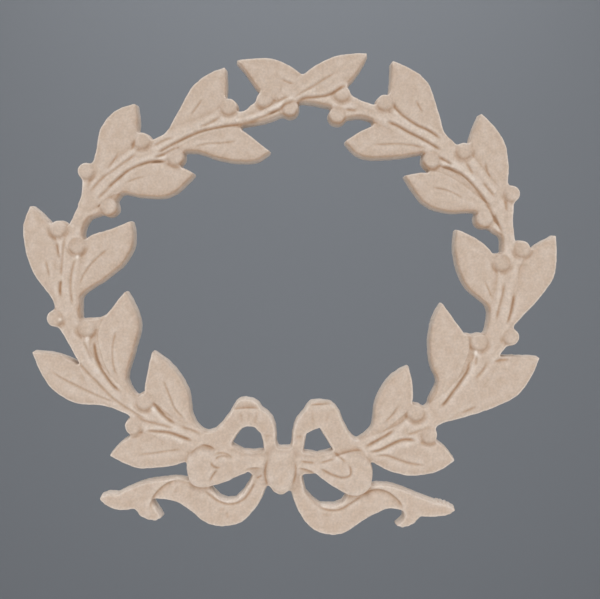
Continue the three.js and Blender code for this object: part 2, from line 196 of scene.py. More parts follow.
# The bow lies over the sprays: how wide a border its smoothing takes in, how softly it ends, and how deep
# inside it nothing of the sprays is left. The tone leaves out this share of what its layers add in height.
BOW_BORDER = 0.6
BOW_BLEND = 0.8
BOW_COVER = 1.5
LAYER_DOME = 0.7

# The plate that joins the knot to the loops, and the outline of the knot in front of it.
KNOT_PLATE = [[-3, 7.9], [4.6, 7.9], [5.4, 4], [4.5, 0], [-4.5, 0], [-5.2, 4]]
KNOT_OUTLINE = [
    [-2.6, 8.2], [4, 8.2], [4.7, 5.5], [4.9, 2], [5, -1.5], [4.4, -4.2], [3, -6.3], [1.2, -7.6],
    [-0.6, -7.7], [-2.4, -6.7], [-3.9, -4.6], [-4.7, -1.6], [-4.7, 2], [-4.2, 5.5],
]

# Outlines of the two upper loops, the height above which they hold and how softly they start there, and how
# far the edge of a loop lies below its face.
LOOPS = [
    [[-1.4, 5], [-1.3, 8.5], [-1.2, 11.9], [-1.5, 15.2], [-2.4, 17.9], [-4, 19.6], [-5.9, 20.9],
     [-7.1, 22.8], [-8.8, 23.9], [-11.4, 24.5], [-13.3, 24.3], [-14.8, 23.1], [-15.8, 21.3], [-17.5, 18.6],
     [-19.5, 16.1], [-21.5, 14.2], [-23, 13.6], [-26, 12], [-26, 4]],
    [[3.5, 5], [3.5, 8.7], [3.8, 12.7], [4.4, 15.5], [5.5, 17.7], [7.5, 20.1], [8.9, 22.3], [10.1, 23.4],
     [13.1, 23.7], [16.7, 23.1], [18.3, 21.9], [19.7, 19.9], [20.7, 17.1], [22.3, 13.9], [23.9, 11.7],
     [25, 10.9], [28, 9], [28, 4]],
]
LOOP_FOOT = 8.5
LOOP_BLEND = 2.0
LOOP_DROP = 0.1

# The four open places of the bow, how far round them they are put right, and how far the wood that closes a
# wider opening lies below the face.
HOLES = [
    [[-15.8, 9.2], [-14.6, 11.4], [-12.8, 13.8], [-10.9, 14.6], [-8.6, 14.3], [-6.8, 12.4], [-6, 9.6],
     [-5.7, 7.2], [-9.2, 6.9], [-12.1, 7]],
    [[12.9, 14.1], [8.9, 12.3], [8.2, 9.6], [7.9, 6.9], [12.3, 6.1], [17, 7.3], [15.2, 10.4]],
    [[-23, -5.1], [-18.6, -3.9], [-14.4, -2], [-10.6, -0.3], [-9.6, -1.3], [-10.4, -3.6],
     [-12.1, -6.3], [-14.8, -8.8], [-17.5, -9.2], [-20.2, -8]],
    [[7.3, -1.7], [8.2, -1.1], [11.5, -0.9], [15.9, -4.1], [21.6, -7.6], [20.4, -9.8], [17.9, -10.8],
     [13.3, -10.8], [10.6, -8.9], [8.5, -6.4]],
]
HOLE_REACH = 1.2
HOLE_DROP = 0.3

# Widths of a leaf are measured square to the line from its foot to its tip, at these shares of that line.
WIDTH_SHARES = [0, 0.2, 0.45, 0.7, 0.87, 1]

# Each leaf: foot, tip, widths to the left of the line, widths to the right of it.
LEFT_LEAVES = [
    [[-28.2, 6.7], [-56.5, 5.3], [2.5, 4.4, 5.2, 4.8, 2.6], [2, 4.9, 6.8, 6.6, 4.2]],
    [[-25.2, 12], [-42.4, 39.8], [3, 4.5, 6.8, 9.2, 4.6], [1, 0, 3.2, 3.6, 2.3]],
    [[-49.2, 19.7], [-82.1, 39.6], [1.5, 3, 7.4, 7.3, 4.1], [1, 1.8, 3.6, 4.6, 2.9]],
    [[-46.8, 22], [-51.2, 59.7], [3, 6.5, 9.8, 9.8, 5.4], [2.5, -2.6, 0.4, 3.6, 2.4]],
    [[-71.2, 50.7], [-82.6, 88], [0.4, 2.7, 6, 5.9, 4.2], [2, 3, 5, 5.6, 3.6]],
    [[-68.8, 50], [-49.2, 82.9], [3, 5.4, 9, 9.6, 4.2], [2, -1.2, 2.6, 5.4, 4.2]],
    [[-65.5, 87.3], [-47.8, 121.7], [2, 2.8, 4.5, 6.8, 5], [1.5, 2, 4.2, 5.8, 3.8]],
    [[-60.2, 89.3], [-28.4, 98.4], [3, 5.9, 8.2, 7.6, 4.4], [1, -0.6, 2.9, 4.9, 3]],
    [[-43.2, 105.6], [-18.1, 133.6], [1.2, 0.5, 2.4, 4.2, 2.9], [2.5, 4.6, 6.8, 8.2, 5.2]],
    [[-33.5, 106], [-3.2, 105.7], [2.5, 5, 7.6, 7.1, 3.4], [0.5, 0.6, 2.8, 3.7, 3.1]],
]
RIGHT_LEAVES = [
    [[27.2, 7.3], [57.8, 3.7], [2, 3.7, 6.4, 6.3, 4.3], [2, 5.3, 7.1, 6.2, 3.9]],
    [[25.8, 10], [42.5, 34.8], [1, -0.8, 2.5, 3.5, 2.5], [2.5, 4.2, 6.6, 7.8, 4.5]],
    [[51.8, 16.7], [85.9, 37.7], [1, 2.2, 4.9, 7.7, 4], [1.4, 4, 6.4, 6.9, 3.9]],
    [[49.8, 20], [53.5, 55.8], [2.5, -1.5, 2.1, 3.2, 2.4], [2.5, 5.5, 9, 9.6, 4.5]],
    [[73.2, 45], [91, 78.1], [2, 4.1, 5.9, 5.8, 3.7], [1.5, 3.1, 5.6, 6.1, 3.4]],
    [[69.8, 46.7], [58.2, 80.1], [2, -1.1, 3.3, 3.9, 2.5], [2.5, 4.2, 8.2, 8.7, 5.2]],
    [[74.5, 85], [66.2, 118.4], [1.5, 2.2, 5.3, 6.7, 3.8], [1.5, 2.6, 5.2, 5.5, 3.2]],
    [[71, 85.5], [41, 97.8], [1, 2.6, 5.9, 6.3, 3.4], [1, 2.2, 4.5, 5, 3.1]],
    [[57.2, 104.3], [36.8, 135.8], [2, 4.6, 7.2, 8.3, 3.8], [1.5, 2, 4.7, 6.3, 3.7]],
    [[50.5, 106.7], [21.3, 109], [0.7, 2.6, 4.2, 5, 3.9], [2.5, 5.2, 7.3, 6.2, 3.5]],
]

# The two leaves that end the sprays and cross at the top.
LEFT_END_LEAF = [[-0.2, 122.3], [28.9, 138.1], [2, 3.3, 5, 4.6, 2.7], [2, 3.4, 6, 5.8, 3.3]]
RIGHT_END_LEAF = [[14.8, 124], [-14.6, 135.8], [2, 4.6, 7.3, 6, 2.5], [1.5, 3, 5.3, 5, 2.7]]

# Middles of the berries.
LEFT_BERRIES = [
    [-44.8, 23], [-48.5, 15], [-64.2, 47.3], [-74.3, 50.6], [-73.2, 80.1], [-67, 74.4], [-56.6, 87.3],
    [-64.1, 99.2], [-45.6, 109.2], [-34.5, 103.9], [-17, 120.3], [-5.2, 122.7], [3.2, 120],
]
RIGHT_BERRIES = [
    [44.8, 19.4], [49, 12.2], [65.8, 42.7], [76.1, 44.4], [73.1, 68.8], [79.7, 73.5], [67.2, 83.3],
    [76.4, 91.7], [49.8, 103], [60.5, 105.8], [34.5, 121.7], [20.3, 124.7], [18.8, 117.6],
]

# Where some stalks meet their berries.
STALK_ENDS = [[-66.8, 70.9], [-63.6, 43.9], [-41.9, 20.9], [-72.3, 50.2], [64.3, 39.3]]

# Stems from the bow to the top: x, z, half width.
LEFT_STEM = [
    [-24, 9, 4], [-36.5, 13.7, 4], [-46.2, 19.7, 3], [-54.5, 25, 3.6], [-60.5, 31, 3.6], [-64.7, 37.4, 2.5],
    [-68.3, 45.7, 3.2], [-70.5, 53, 3.2], [-70.8, 60, 3.6], [-70.1, 67.7, 3.8], [-68.7, 75.3, 3.4],
    [-67.2, 81.3, 2.6], [-62.9, 89, 3], [-55.8, 96.7, 3.6], [-47.2, 103.3, 3.6], [-38.2, 108.3, 3.2],
    [-27.8, 113.4, 2.7], [-17.2, 115.9, 2.5], [-6.5, 117.9, 2.5], [1.5, 121, 2.2],
]
RIGHT_STEM = [
    [24, 6, 4], [39.8, 11, 4.3], [49.5, 17.7, 4], [57.2, 23.7, 3.8], [63.5, 30.3, 3.8], [68.5, 38.3, 3.6],
    [71.5, 46.7, 3.4], [73.2, 54.7, 3.4], [75, 63.7, 3.2], [75.5, 73, 2.4], [74.9, 80.3, 2.3],
    [72.5, 88, 2.6], [66.5, 95.3, 3.2], [58.5, 103.3, 3.6], [49.2, 109.3, 3.6], [39.2, 115, 3.2],
    [30.5, 118.7, 2.7], [23.2, 120.9, 2.5], [15, 123, 2.3], [8, 124.2, 2], [2, 125.5, 1.5],
]

# Wood left standing between a stem and the feet of its leaves: x, z, half width.
WEBS = [
    [[-30, 10.5, 3.5], [-36, 16.5, 4.2], [-41.5, 22, 3.4], [-44.5, 24.5, 1.5]],
    [[-34, 9.5, 2], [-40, 12.5, 2.2], [-46.5, 13.8, 1.8]],
    [[-66.5, 48, 2.2], [-60.8, 48.2, 2.3], [-59.6, 40, 4.2], [-52, 25, 3.2]],
    [[-75.5, 75, 2], [-73, 64, 3.2], [-71, 52, 3.4]],
    [[-68, 61, 1.8], [-67.7, 55, 1.8], [-67.6, 50, 1.7]],
    [[-61.5, 48.8, 1.8], [-58.2, 50, 1.7], [-55.8, 52, 1.3]],
    [[-58, 99.5, 3.4], [-51, 106.5, 3], [-46, 110, 1.5]],
    [[-57.5, 91.2, 3.6], [-48, 100, 3.2], [-37.5, 105.6, 3.5]],
    [[-34, 112.5, 2.6], [-28, 115, 2.2], [-22.5, 116.4, 1.5]],
    [[-9, 119.6, 1.8], [-2.5, 122, 2.4], [3.5, 123.2, 1.8]],
    [[30, 9, 3.5], [36, 14.5, 4], [41, 19, 3.4], [44, 20.5, 1.5]],
    [[62.3, 43.7, 2.1], [59, 35, 3.6], [52, 23, 3]],
    [[77, 70, 2], [75.5, 60, 3.4], [72.5, 48, 3.2]],
    [[72.5, 81, 2.6], [66, 90, 3.8], [60.5, 96, 3.6], [50.5, 101.3, 2.4]],
    [[36, 8, 2], [42, 9.5, 2], [47.5, 10.8, 1.8]],
    [[71.5, 95, 2.6], [66.5, 101, 3.2], [61.5, 105, 2]],
    [[55, 107.5, 3], [46, 114, 3.2], [38, 119, 2.6]],
    [[33.4, 117, 2.4], [32.4, 114.6, 2.2], [33.8, 112, 2.4]],
    [[-19, 113.4, 2], [-15, 113.3, 1.5], [-13.7, 113.2, 1.2]],
    [[69.6, 70.1, 1.9], [71.2, 70.5, 1.8], [72.8, 70.7, 1.6]],
]

# The strand that runs on from the left stem, over the crossing and into the leaf: x, z, half width.
TOP_STRAND = [
    [-14, 115.9, 0.7], [-8, 117.3, 0.9], [-3.2, 119.5, 1], [0.3, 121.5, 1], [3.4, 122.9, 1],
    [7.5, 124.5, 0.9], [11, 125.9, 0.6],
]

# Ribbons of the bow: x, z, half width.
BACK_RIBBONS = [
    [[-3.3, 4.5, 2.3], [-3.7, 11.3, 2.7], [-6.2, 16.8, 3.5], [-12.2, 18.9, 5.3], [-16.9, 14.3, 3.7],
     [-20.5, 10, 3.9], [-25.2, 5, 4]],
    [[5.7, 5.2, 2.4], [6.3, 11.6, 2.7], [8.6, 15.7, 3.9], [13.2, 18.3, 4.8], [17.3, 14.9, 3.6],
     [20.2, 9, 3.9], [24.8, 5, 4]],
    [[-4, 0.9, 4], [-7.3, -2.9, 3.7], [-9.5, -8.3, 3.5], [-14.8, -13.7, 3.9], [-22, -13.2, 4.7],
     [-27.2, -9.7, 4.3], [-32.8, -6.3, 4.3], [-38.5, -5.8, 3.6], [-44.5, -6.6, 3.3], [-49.5, -9, 3.7],
     [-53.5, -10, 3], [-57, -9.2, 2.2], [-58.4, -9, 1.5]],
    [[-45.8, -9, 3.5], [-44.4, -12.2, 3.3], [-42, -14.1, 2.4], [-40.5, -14.9, 1.5], [-39.8, -15, 0.9]],
    [[3.2, 0.5, 3.2], [5.4, -4.6, 2.7], [7.8, -10.7, 3], [12.5, -15.7, 4], [18.3, -16.3, 4.9],
     [24, -13.2, 4.6], [29.4, -9.6, 5.1], [35.2, -8.3, 4.2], [41.2, -9.7, 3.6], [46.5, -11.6, 3.4],
     [52.5, -12.6, 2.5], [55.6, -12.6, 1.8], [57, -12.5, 1.1]],
    [[43.7, -12.2, 3.4], [43, -15.2, 2.5], [41, -17, 1.6], [39.2, -17.6, 1], [38.7, -17.7, 0.6]],
]
BOW_WEBS = [
    [[-20, 9.8, 2], [-18.6, 9.6, 2], [-17.6, 9.2, 1.8]],
    [[-18.5, 8.4, 1.6], [-15.4, 7.4, 1.4], [-12.5, 6.2, 1]],
    [[-26.5, -7, 2], [-24.8, -6.2, 1.6], [-23.9, -5.9, 1.4]],
    [[26, -8.5, 2], [24.4, -8.2, 1.8], [23.5, -8, 1.6]],
]
FRONT_RIBBONS = [
    [[-3.2, 3.3, 2.9], [-11, 2.9, 3.3], [-14.4, 2.4, 4.4], [-19, 1.6, 5.7], [-24.6, 1.5, 6.4]],
    [[4.2, 2.5, 3.2], [11.8, 2, 3.5], [16.8, 0.9, 5.6], [20.8, -0.8, 6.3], [23.8, -1, 6.8]],
]

# Rounded turns at the ends of the front ribbons: middle, half width, half height.
TURNS = [[[-26, 1.4], 5, 7], [[25, -0.9], 5.6, 7.1]]

# Small burrs left on the edges: x, z, radius.
BURRS = [
    [24.9, 104, 0.6], [81.2, 39, 0.45], [77.5, 38.4, 0.35], [49.9, 50.4, 0.4], [49.4, 48.7, 0.35],
    [48.7, 35.4, 0.4], [56.9, 76.6, 0.35], [52.2, -9.9, 0.5], [53.5, -10.2, 0.4], [54.8, -10.6, 0.5],
]

# Grooves cut between the strands of a stem and beside the leaves: x and z along each.
DEEP_GROOVES = [
    [[-45, 13.6], [-40.4, 13.4], [-36.6, 13], [-32.8, 11.7], [-28.4, 10.1]],
    [[-41.6, 22.7], [-39.3, 19.5], [-36.6, 17.1], [-33.7, 15.4]],
    [[-61.4, 43.8], [-61.1, 39.7], [-59.8, 35.4], [-57.8, 32.1], [-55.1, 28.5], [-52.1, 26.1]],
    [[-71.9, 64.2], [-72.6, 60.7], [-72.3, 57.1]],
    [[-37.6, 102.4], [-42.5, 102.3], [-46.3, 101.2], [-50.2, 99.3], [-52.9, 97.1], [-57.8, 92.7]],
    [[-11.7, 114.5], [-16.4, 114.2], [-20.6, 113.5], [-25.3, 112.5], [-30, 110.7], [-34.1, 108.7],
     [-41.1, 104.8]],
    [[22.2, 127.7], [19.9, 126.5], [17.7, 125.1], [14.8, 124], [10.9, 123.5], [7.5, 123.1], [5.2, 122]],
    [[36.8, 121.8], [38.9, 118.8], [42.1, 116.2], [45.4, 114.1], [48.6, 112.7], [51, 111.2], [53.3, 109.1]],
    [[34.5, 115.6], [38, 114.4], [42.1, 112.1], [46.3, 110], [49.8, 108], [53.6, 105.6]],
    [[51.6, 104.1], [54.2, 102.7], [57.4, 100.9]],
    [[52.1, 100.9], [55.1, 100.3], [58, 99.1], [61, 97.1], [63.9, 94.1], [66.3, 91.2], [68.6, 88.2]],
    [[77.2, 59.5], [76.5, 55], [75.5, 50.9], [74.4, 48.1]],
    [[62.7, 36.9], [61.9, 33.9], [59.3, 29.6], [56.7, 26.1], [54.1, 22.7], [52, 20.9]],
    [[38.2, 14.1], [34.7, 11.9], [30.9, 9.8], [27.4, 8]],
    [[45.5, 10.2], [40.3, 10.6], [36.9, 9.3], [32.6, 7.2], [28.7, 6.5]],
]
SOFT_GROOVES = [
    [[-33.7, 15.4], [-30.4, 14.2], [-27.8, 13.3], [-25.7, 12.1]],
    [[-66.9, 36.5], [-63.9, 33.2], [-60.6, 29.9], [-57.8, 26.9], [-54.6, 23.9], [-50.2, 20.9], [-43.4, 16.8]],
    [[-48.7, 19.5], [-44.6, 16.8], [-42.2, 16.3], [-38.7, 15.4], [-34.6, 14.5]],
    [[-65.2, 44.4], [-63.6, 40.3], [-61.7, 35.9]],
    [[-71.1, 77.3], [-71.5, 74.3], [-71.8, 70.5], [-72.1, 66.4], [-72.1, 63.4]],
    [[-66.9, 71], [-68, 68.6], [-68.8, 65], [-69.1, 60.9], [-68.8, 57.4], [-68.2, 54.4]],
    [[-73.7, 76.5], [-73.3, 73.2], [-72.3, 69.1]],
    [[-37.3, 104.7], [-40.3, 104.2], [-42.2, 103.4]],
    [[-47.7, 110.2], [-48.5, 107.5], [-49.6, 105.3]],
    [[-46.9, 105.3], [-49.1, 103.6], [-51.5, 102], [-55.1, 99.3], [-58.3, 97.1], [-63, 91.9]],
    [[-55.6, 93.8], [-58.3, 91.9], [-60.5, 89.4]],
    [[-34.4, 110.4], [-37.6, 109.5], [-40.6, 108.1], [-42.9, 106.6]],
    [[-32.9, 107.5], [-36.1, 106], [-39.4, 104.2], [-42.3, 103.1]],
    [[-37.3, 102.5], [-41.1, 102.2], [-42.9, 102]],
    [[-19.4, 117.3], [-21.3, 116], [-24.1, 114.5], [-27.6, 113.4]],
    [[0.6, 119.8], [-2.3, 118.4], [-6.7, 116.6], [-11.1, 115.1]],
    [[5.2, 122.2], [3.1, 121.6], [1.3, 120.9], [0.3, 119.8], [-2, 118.8], [-5.2, 117.8]],
    [[3.4, 123.8], [0.2, 122.6], [-2.2, 121]],
    [[21.1, 119.6], [23.3, 119.3], [25.6, 119]],
    [[60.7, 102.7], [62.4, 100], [63.9, 97.4]],
    [[66.3, 95.9], [68.6, 93.2], [71.3, 90]],
    [[67, 90], [68.6, 87.5], [70.2, 84.4], [72.3, 80.8], [73.6, 77.5]],
    [[73.7, 89.7], [74.4, 87.6], [74.3, 85.5]],
    [[73.4, 63], [73.4, 59.5], [72.4, 55.4], [71.7, 52.6], [71, 49.1]],
    [[64.9, 38.6], [64.2, 34.7]],
    [[68.3, 36.5], [67, 33.9], [63.6, 30.4]],
    [[65.3, 22], [62.7, 20.7], [58.9, 19.2]],
    [[47.2, 14.5], [43.8, 12.8], [41.2, 12.3]],
    [[69.6, 36.2], [72.5, 36.8], [76, 36.9]],
    [[30.4, 5], [34.7, 5.5], [38.6, 4.2], [42.5, 2.9], [48.2, 2.3]],
]

# Ribs drawn into the leaves: x and z along each.
RIBS = [
    [[-47.2, 5.8], [-42.8, 6.1], [-38.1, 6.8], [-31.9, 7.6]],
    [[-38.7, 31], [-37.5, 27.7], [-36, 23.9], [-34.8, 21], [-32.8, 18.6], [-31, 17.1]],
    [[-76.1, 33.7], [-71.5, 30.7], [-67.1, 28.5], [-62.8, 26.4], [-57.8, 24.2], [-54, 22.8]],
    [[-53.7, 47.3], [-55.1, 42.4], [-55.2, 37], [-54.5, 33.2], [-53.3, 31.2]],
    [[-77.5, 70.5], [-76.6, 66.9], [-75.8, 63.4]],
    [[-56.2, 74], [-59.8, 71], [-62.5, 68.3], [-64.8, 65], [-66.3, 60.5]],
    [[-52.9, 105.8], [-55.1, 102.3], [-57.3, 99.5]],
    [[-43.9, 97.6], [-48, 96.5], [-51.8, 94.9]],
    [[-25.3, 123.4], [-27.6, 120.1], [-30, 116.9]],
    [[-13.5, 109.2], [-19.4, 108.4], [-24.7, 108.1], [-28.8, 107]],
    [[19.1, 131.9], [14.8, 129.6], [10.9, 127.1], [6.9, 124.8], [3.5, 122.6]],
    [[-0.2, 129.6], [2.3, 128.5], [4.9, 127.7]],
    [[44.5, 122.9], [46, 120], [47.1, 118.2]],
    [[29.8, 107.8], [34.5, 108], [38.9, 108.1], [43.3, 107.7], [48.6, 106.5]],
    [[49.2, 93.8], [53.6, 93.2], [58, 91.5], [61, 89.7]],
    [[67.7, 102.7], [68, 99.7], [69.8, 96.2]],
    [[66.8, 63.7], [68.6, 60.2], [69.9, 56.4]],
    [[39.5, 22.7], [36.9, 18.8], [33.9, 15.8]],
]

# Creases of the ribbons and the knot: x and z along each.
CREASES = [
    [[-22.5, 5.1], [-20.9, 6.2], [-18.7, 6.4], [-15, 4.3]],
    [[-21.7, 3.4], [-20.4, 5.1], [-18.3, 5.5], [-16.2, 4.3]],
    [[-22.8, 4.2], [-22.3, 2.6], [-21.2, 1.7], [-19, 2.1]],
    [[-20.4, 1.3], [-22.1, -0.8], [-23.2, -3.3]],
    [[17.2, 7], [19.1, 5.5], [22, 3]],
    [[12.6, 1.9], [17.4, -0.8], [20.8, -1.6], [22.9, -0.8], [23.1, 1.3], [21.6, 3.4]],
    [[12.4, 3], [15.3, 3.8], [18.7, 4.9]],
    [[6, 4], [9, 3.4], [12, 3.2]],
    [[-3.8, 5.1], [-4.8, 1.7], [-5, -0.8], [-4.4, -3.7], [-3.8, -5.6]],
    [[4.8, 4.3], [5.1, 1.3], [4.8, -1.6], [3.6, -5]],
    [[-8, -2.3], [-5.7, -0.8]],
    [[-25.5, -5.8], [-23.6, -7.2], [-20.4, -9.6], [-16.6, -10.6], [-12.2, -9.1], [-9.5, -5.6], [-7.9, -2.4]],
    [[7.3, -5], [11.1, -10], [14.9, -12.3], [19.9, -12.3], [23.7, -10], [27.5, -7.5]],
]

# Fainter creases of the loops and the tails: x and z along each.
FAINT_CREASES = [
    [[-13, 20.2], [-12.9, 18], [-12.5, 15.4]],
    [[-7.3, 20.2], [-8, 18], [-8.4, 15.6]],
    [[10.8, 20.8], [10.6, 18.2], [10.9, 15.4]],
    [[16, 20.4], [15.6, 18], [14.8, 15.6]],
    [[-5.4, 11.8], [-2.2, 12.2]],
    [[4.6, 11.4], [7.8, 11.8]],
    [[-17.8, -13], [-17.2, -15.6]],
    [[-33.6, -4], [-35, -7.2]],
    [[13.2, -13.8], [17.4, -14.6]],
    [[-20.4, -12.2], [-18.2, -12]],
]

# Edges of ribbon that pass over another layer, with the lower layer to the right: x and z along each.
FOLDS = [
    [[-6.4, 20.7], [-8.5, 20.9], [-11.6, 20.9], [-14, 20.7], [-16.4, 20.4]],
    [[18, 22.2], [16, 22.3], [13.6, 22.1], [11.4, 22], [9, 21.7]],
    [[-41.9, -12.6], [-42.9, -11.3], [-42.5, -9.4], [-41.4, -7.2], [-39.7, -5.3], [-37.3, -3.6],
     [-34.8, -2.6], [-32.4, -2.6], [-29.6, -3.6]],
    [[26.4, -7.9], [28.8, -6.4], [32, -5.6], [35.3, -6.4], [37.9, -8.2], [40, -10.6], [40.6, -12.6]],
    [[-12, 0.8], [-10.8, 1.3], [-8.2, 1.7], [-5.2, 1.5]],
    [[4.8, 1.6], [8.2, 1.3], [11, 0], [14, -2.6]],
    [[28, 6.7], [25.5, 6.9], [22.4, 6.4], [19.1, 5.5], [16.2, 4.5]],
    [[-29.9, 4.6], [-28.8, 7.6], [-26.7, 9.1], [-23.4, 8.7], [-20.6, 7]],
    [[-30.3, -1.5], [-28.8, -4.1], [-25.9, -4.9], [-23, -4.7], [-20.5, -4]],
    [[17.4, -5.4], [21.6, -7.2], [25.8, -7.6], [28.9, -5.8], [30.3, -3]],
]

# The scene round the wreath, in metres.
STAGE_HALF = 1.5
STAGE_BACK = 0.8
STAGE_TOP = 2.0
FLOOR_Z = -0.4
FLOOR_PAINT = {"Base Color": (0.6, 0.6, 0.6, 1), "Roughness": 0.9}
BACKDROP_PAINT = {"Base Color": (0.25, 0.27, 0.3, 1), "Roughness": 0.9}
WORLD_LIGHT = {"Color": (0.92, 0.9, 0.88, 1), "Strength": 0.36}
CAMERA_PLACE = (0.0065, -0.2865, 0.05683)
CAMERA_LENS = 51.3
LIGHT_TARGET = (0, 0, 0.06)

# Each light: name, place, width and height, power in watts.
LIGHTS = [
    ("top_light", (0, -0.45, 0.85), (0.7, 0.4), 3),
    ("front_light", (0, -1, 0.25), (1, 1), 1.2),
    ("low_light", (0, -0.35, -0.36), (0.8, 0.3), 1.5),
    ("rear_light", (0, 0.6, 0.75), (0.8, 0.4), 3),
    ("side_light_1", (-0.55, -0.28, 0.06), (0.3, 0.6), 1),
    ("side_light_3", (0.55, -0.28, 0.06), (0.3, 0.6), 1),
]

# The wood: colours from the brownest tone to the lightest, which carry the painted shade and painted
# highlight, a tint in soft clouds, and a fine speckle that also gives the bump.
TONE_RANGE = {"From Min": -0.42, "From Max": 0.4}
TONE_COLOURS = [(0, (0.43, 0.275, 0.175, 1)), (0.51, (0.585, 0.47, 0.383, 1)), (1, (0.8, 0.71, 0.63, 1))]
CLOUD_COLOURS = [(0.35, (0.97, 0.945, 0.92, 1)), (0.65, (1.03, 1.035, 1.05, 1))]
CLOUD_NOISE = {"Scale": 420, "Detail": 2}
SPECKLE_NOISE = {"Scale": 1400, "Detail": 3}
SPECKLE_RANGE = {"From Min": 0.3, "From Max": 0.7, "To Min": 0.9, "To Max": 1.07}
WOOD_GLOSS = {"Roughness": 0.82, "Specular IOR Level": 0.3}
WOOD_BUMP = {"Strength": 0.35, "Distance": 0.0001}


def through(stations, values):
    """A smooth curve through values at given stations, for arrays of places."""
    stations = np.asarray(stations, float)
    values = np.asarray(values, float)
    steps = np.diff(stations)
    rises = np.diff(values) / steps
    slopes = np.full(len(values), rises[0])
    if len(values) > 2:
        slopes[1:-1] = (rises[:-1] * steps[1:] + rises[1:] * steps[:-1]) / (steps[1:] + steps[:-1])
        slopes[0] = 1.5 * rises[0] - 0.5 * slopes[1]
        slopes[-1] = 1.5 * rises[-1] - 0.5 * slopes[-2]

    def curve(place):
        i = np.clip(np.searchsorted(stations, place) - 1, 0, len(steps) - 1)
        t = np.clip((place - stations[i]) / steps[i], 0, 1)
        start = values[i] * (1 + 2 * t) * (1 - t) ** 2 + steps[i] * slopes[i] * t * (1 - t) ** 2
        end = values[i + 1] * t * t * (3 - 2 * t) + steps[i] * slopes[i + 1] * t * t * (t - 1)
        return start + end

    return curve


def course(rows, spacing=STRIP_SPACING):
    """Points every so often on a smooth line through rows of x, z and further values, and their lengths."""
    rows = np.asarray(rows, float)
    gaps = np.hypot(np.diff(rows[:, 0]), np.diff(rows[:, 1]))
    stations = np.concatenate([[0], np.cumsum(gaps)])
    count = max(3, int(stations[-1] / spacing) + 1)
    places = np.linspace(0, stations[-1], count)
    points = np.stack([through(stations, rows[:, k])(places) for k in range(rows.shape[1])], axis=1)
    return points, places


def smooth_max(a, b, soft):
    """The greater of two fields, with a fillet of that softness where they meet."""
    share = np.clip(0.5 + 0.5 * (a - b) / soft, 0, 1)
    return b + (a - b) * share + soft * share * (1 - share)


def round_step(value):
    """From 0 to 1 with flat ends."""
    t = np.clip(value, 0, 1)
    return t * t * (3 - 2 * t)


def quarter_round(value):
    """From 0 to 1 along a quarter of a circle, steep at the start and flat at the end."""
    return np.sqrt(1 - (1 - np.clip(value, 0, 1)) ** 2)


def bell(away, half):
    """1 in the middle, falling off on both sides."""
    return np.exp(-((away / half) ** 2))


def run_out(along, total, parts):
    """From 0 at both ends of a line to 1 further in."""
    return round_step(np.minimum(along, total - along) / min(END_FADE, total / parts))


class Relief:
    """The wreath on one grid: gap is the distance in from the outline, level the height of the face, shade
    how much painted shadow darkens the wood (less than 0 where the wood is made lighter), dome what the tone
    leaves out of the level, and bow 1 where the bow lies."""

    def __init__(self):
        self.x = np.arange(LOW[0] - MARGIN, HIGH[0] + MARGIN, PITCH)
        self.z = np.arange(LOW[2] - MARGIN, HIGH[2] + MARGIN, PITCH)
        self.gap = np.full((len(self.z), len(self.x)), -FAR)
        self.level = np.full_like(self.gap, WEB_FACE - GROUND_DROP)
        self.shade, self.dome, self.bow = (np.zeros_like(self.gap) for _ in range(3))

    def window(self, points, reach):
        """The part of the grid within reach of some points: its slices and its x and z."""
        low = np.min(points, axis=0) - reach
        high = np.max(points, axis=0) + reach
        columns = slice(*np.searchsorted(self.x, [low[0], high[0]]))
        lines = slice(*np.searchsorted(self.z, [low[1], high[1]]))
        x, z = np.meshgrid(self.x[columns], self.z[lines])
        return (lines, columns), x, z

    def add(self, place, gap, level, soft=FACE_FILLET):
        """Joins a shape to the outline and the face."""
        self.gap[place] = smooth_max(self.gap[place], gap, OUTLINE_FILLET)
        self.level[place] = smooth_max(self.level[place], level, soft)


def polygon_gap(x, z, outline):
    """Distance in from a closed outline."""
    nearest = np.full(x.shape, FAR ** 2)
    inside = np.zeros(x.shape, bool)
    for (ax, az), (bx, bz) in zip(outline, np.roll(outline, -1, axis=0)):
        dx, dz = bx - ax, bz - az
        t = np.clip(((x - ax) * dx + (z - az) * dz) / (dx * dx + dz * dz + TINY_SIDE), 0, 1)
        nearest = np.minimum(nearest, (x - ax - t * dx) ** 2 + (z - az - t * dz) ** 2)
        if az != bz:
            inside ^= ((az > z) != (bz > z)) & (x < (z - az) * dx / dz + ax)
    return np.where(inside, np.sqrt(nearest), -np.sqrt(nearest))


def strip(x, z, points, places):
    """For a strip of changing half width: distance in from its edge, place along it, offset to its left and
    half width there."""
    best = np.multiply.outer([-FAR, 0, 0, 1], np.ones(x.shape))
    for i in range(len(points) - 1):
        ax, az, aw = points[i, :3]
        bx, bz, bw = points[i + 1, :3]
        dx, dz = bx - ax, bz - az
        run = math.hypot(dx, dz)
        t = np.clip(((x - ax) * dx + (z - az) * dz) / (run * run), 0, 1)
        across = (dx * (z - az) - dz * (x - ax)) / run
        width = aw + (bw - aw) * t
        gap = width - np.hypot(x - ax - t * dx, z - az - t * dz)
        here = np.stack([gap, places[i] + t * (places[i + 1] - places[i]), across, width])
        best = np.where(gap > best[0], here, best)
    return best


def polygon_place(relief, outline, reach=NEAR_REACH):
    """Where a polygon lies on the grid, the z there and the distance in from its edge."""
    outline = np.array(outline)
    place, x, z = relief.window(outline, reach)
    return place, z, polygon_gap(x, z, outline)


def strip_gap(relief, rows):
    """Where a strip lies on the grid, distance in from its edge and share of the way to its middle."""
    points, places = course(rows)
    place, x, z = relief.window(points[:, :2], float(points[:, 2].max()) + NEAR_REACH)
    gap, _, offset, half = strip(x, z, points, places)
    return place, gap, 1 - np.clip(offset / half, -1, 1) ** 2


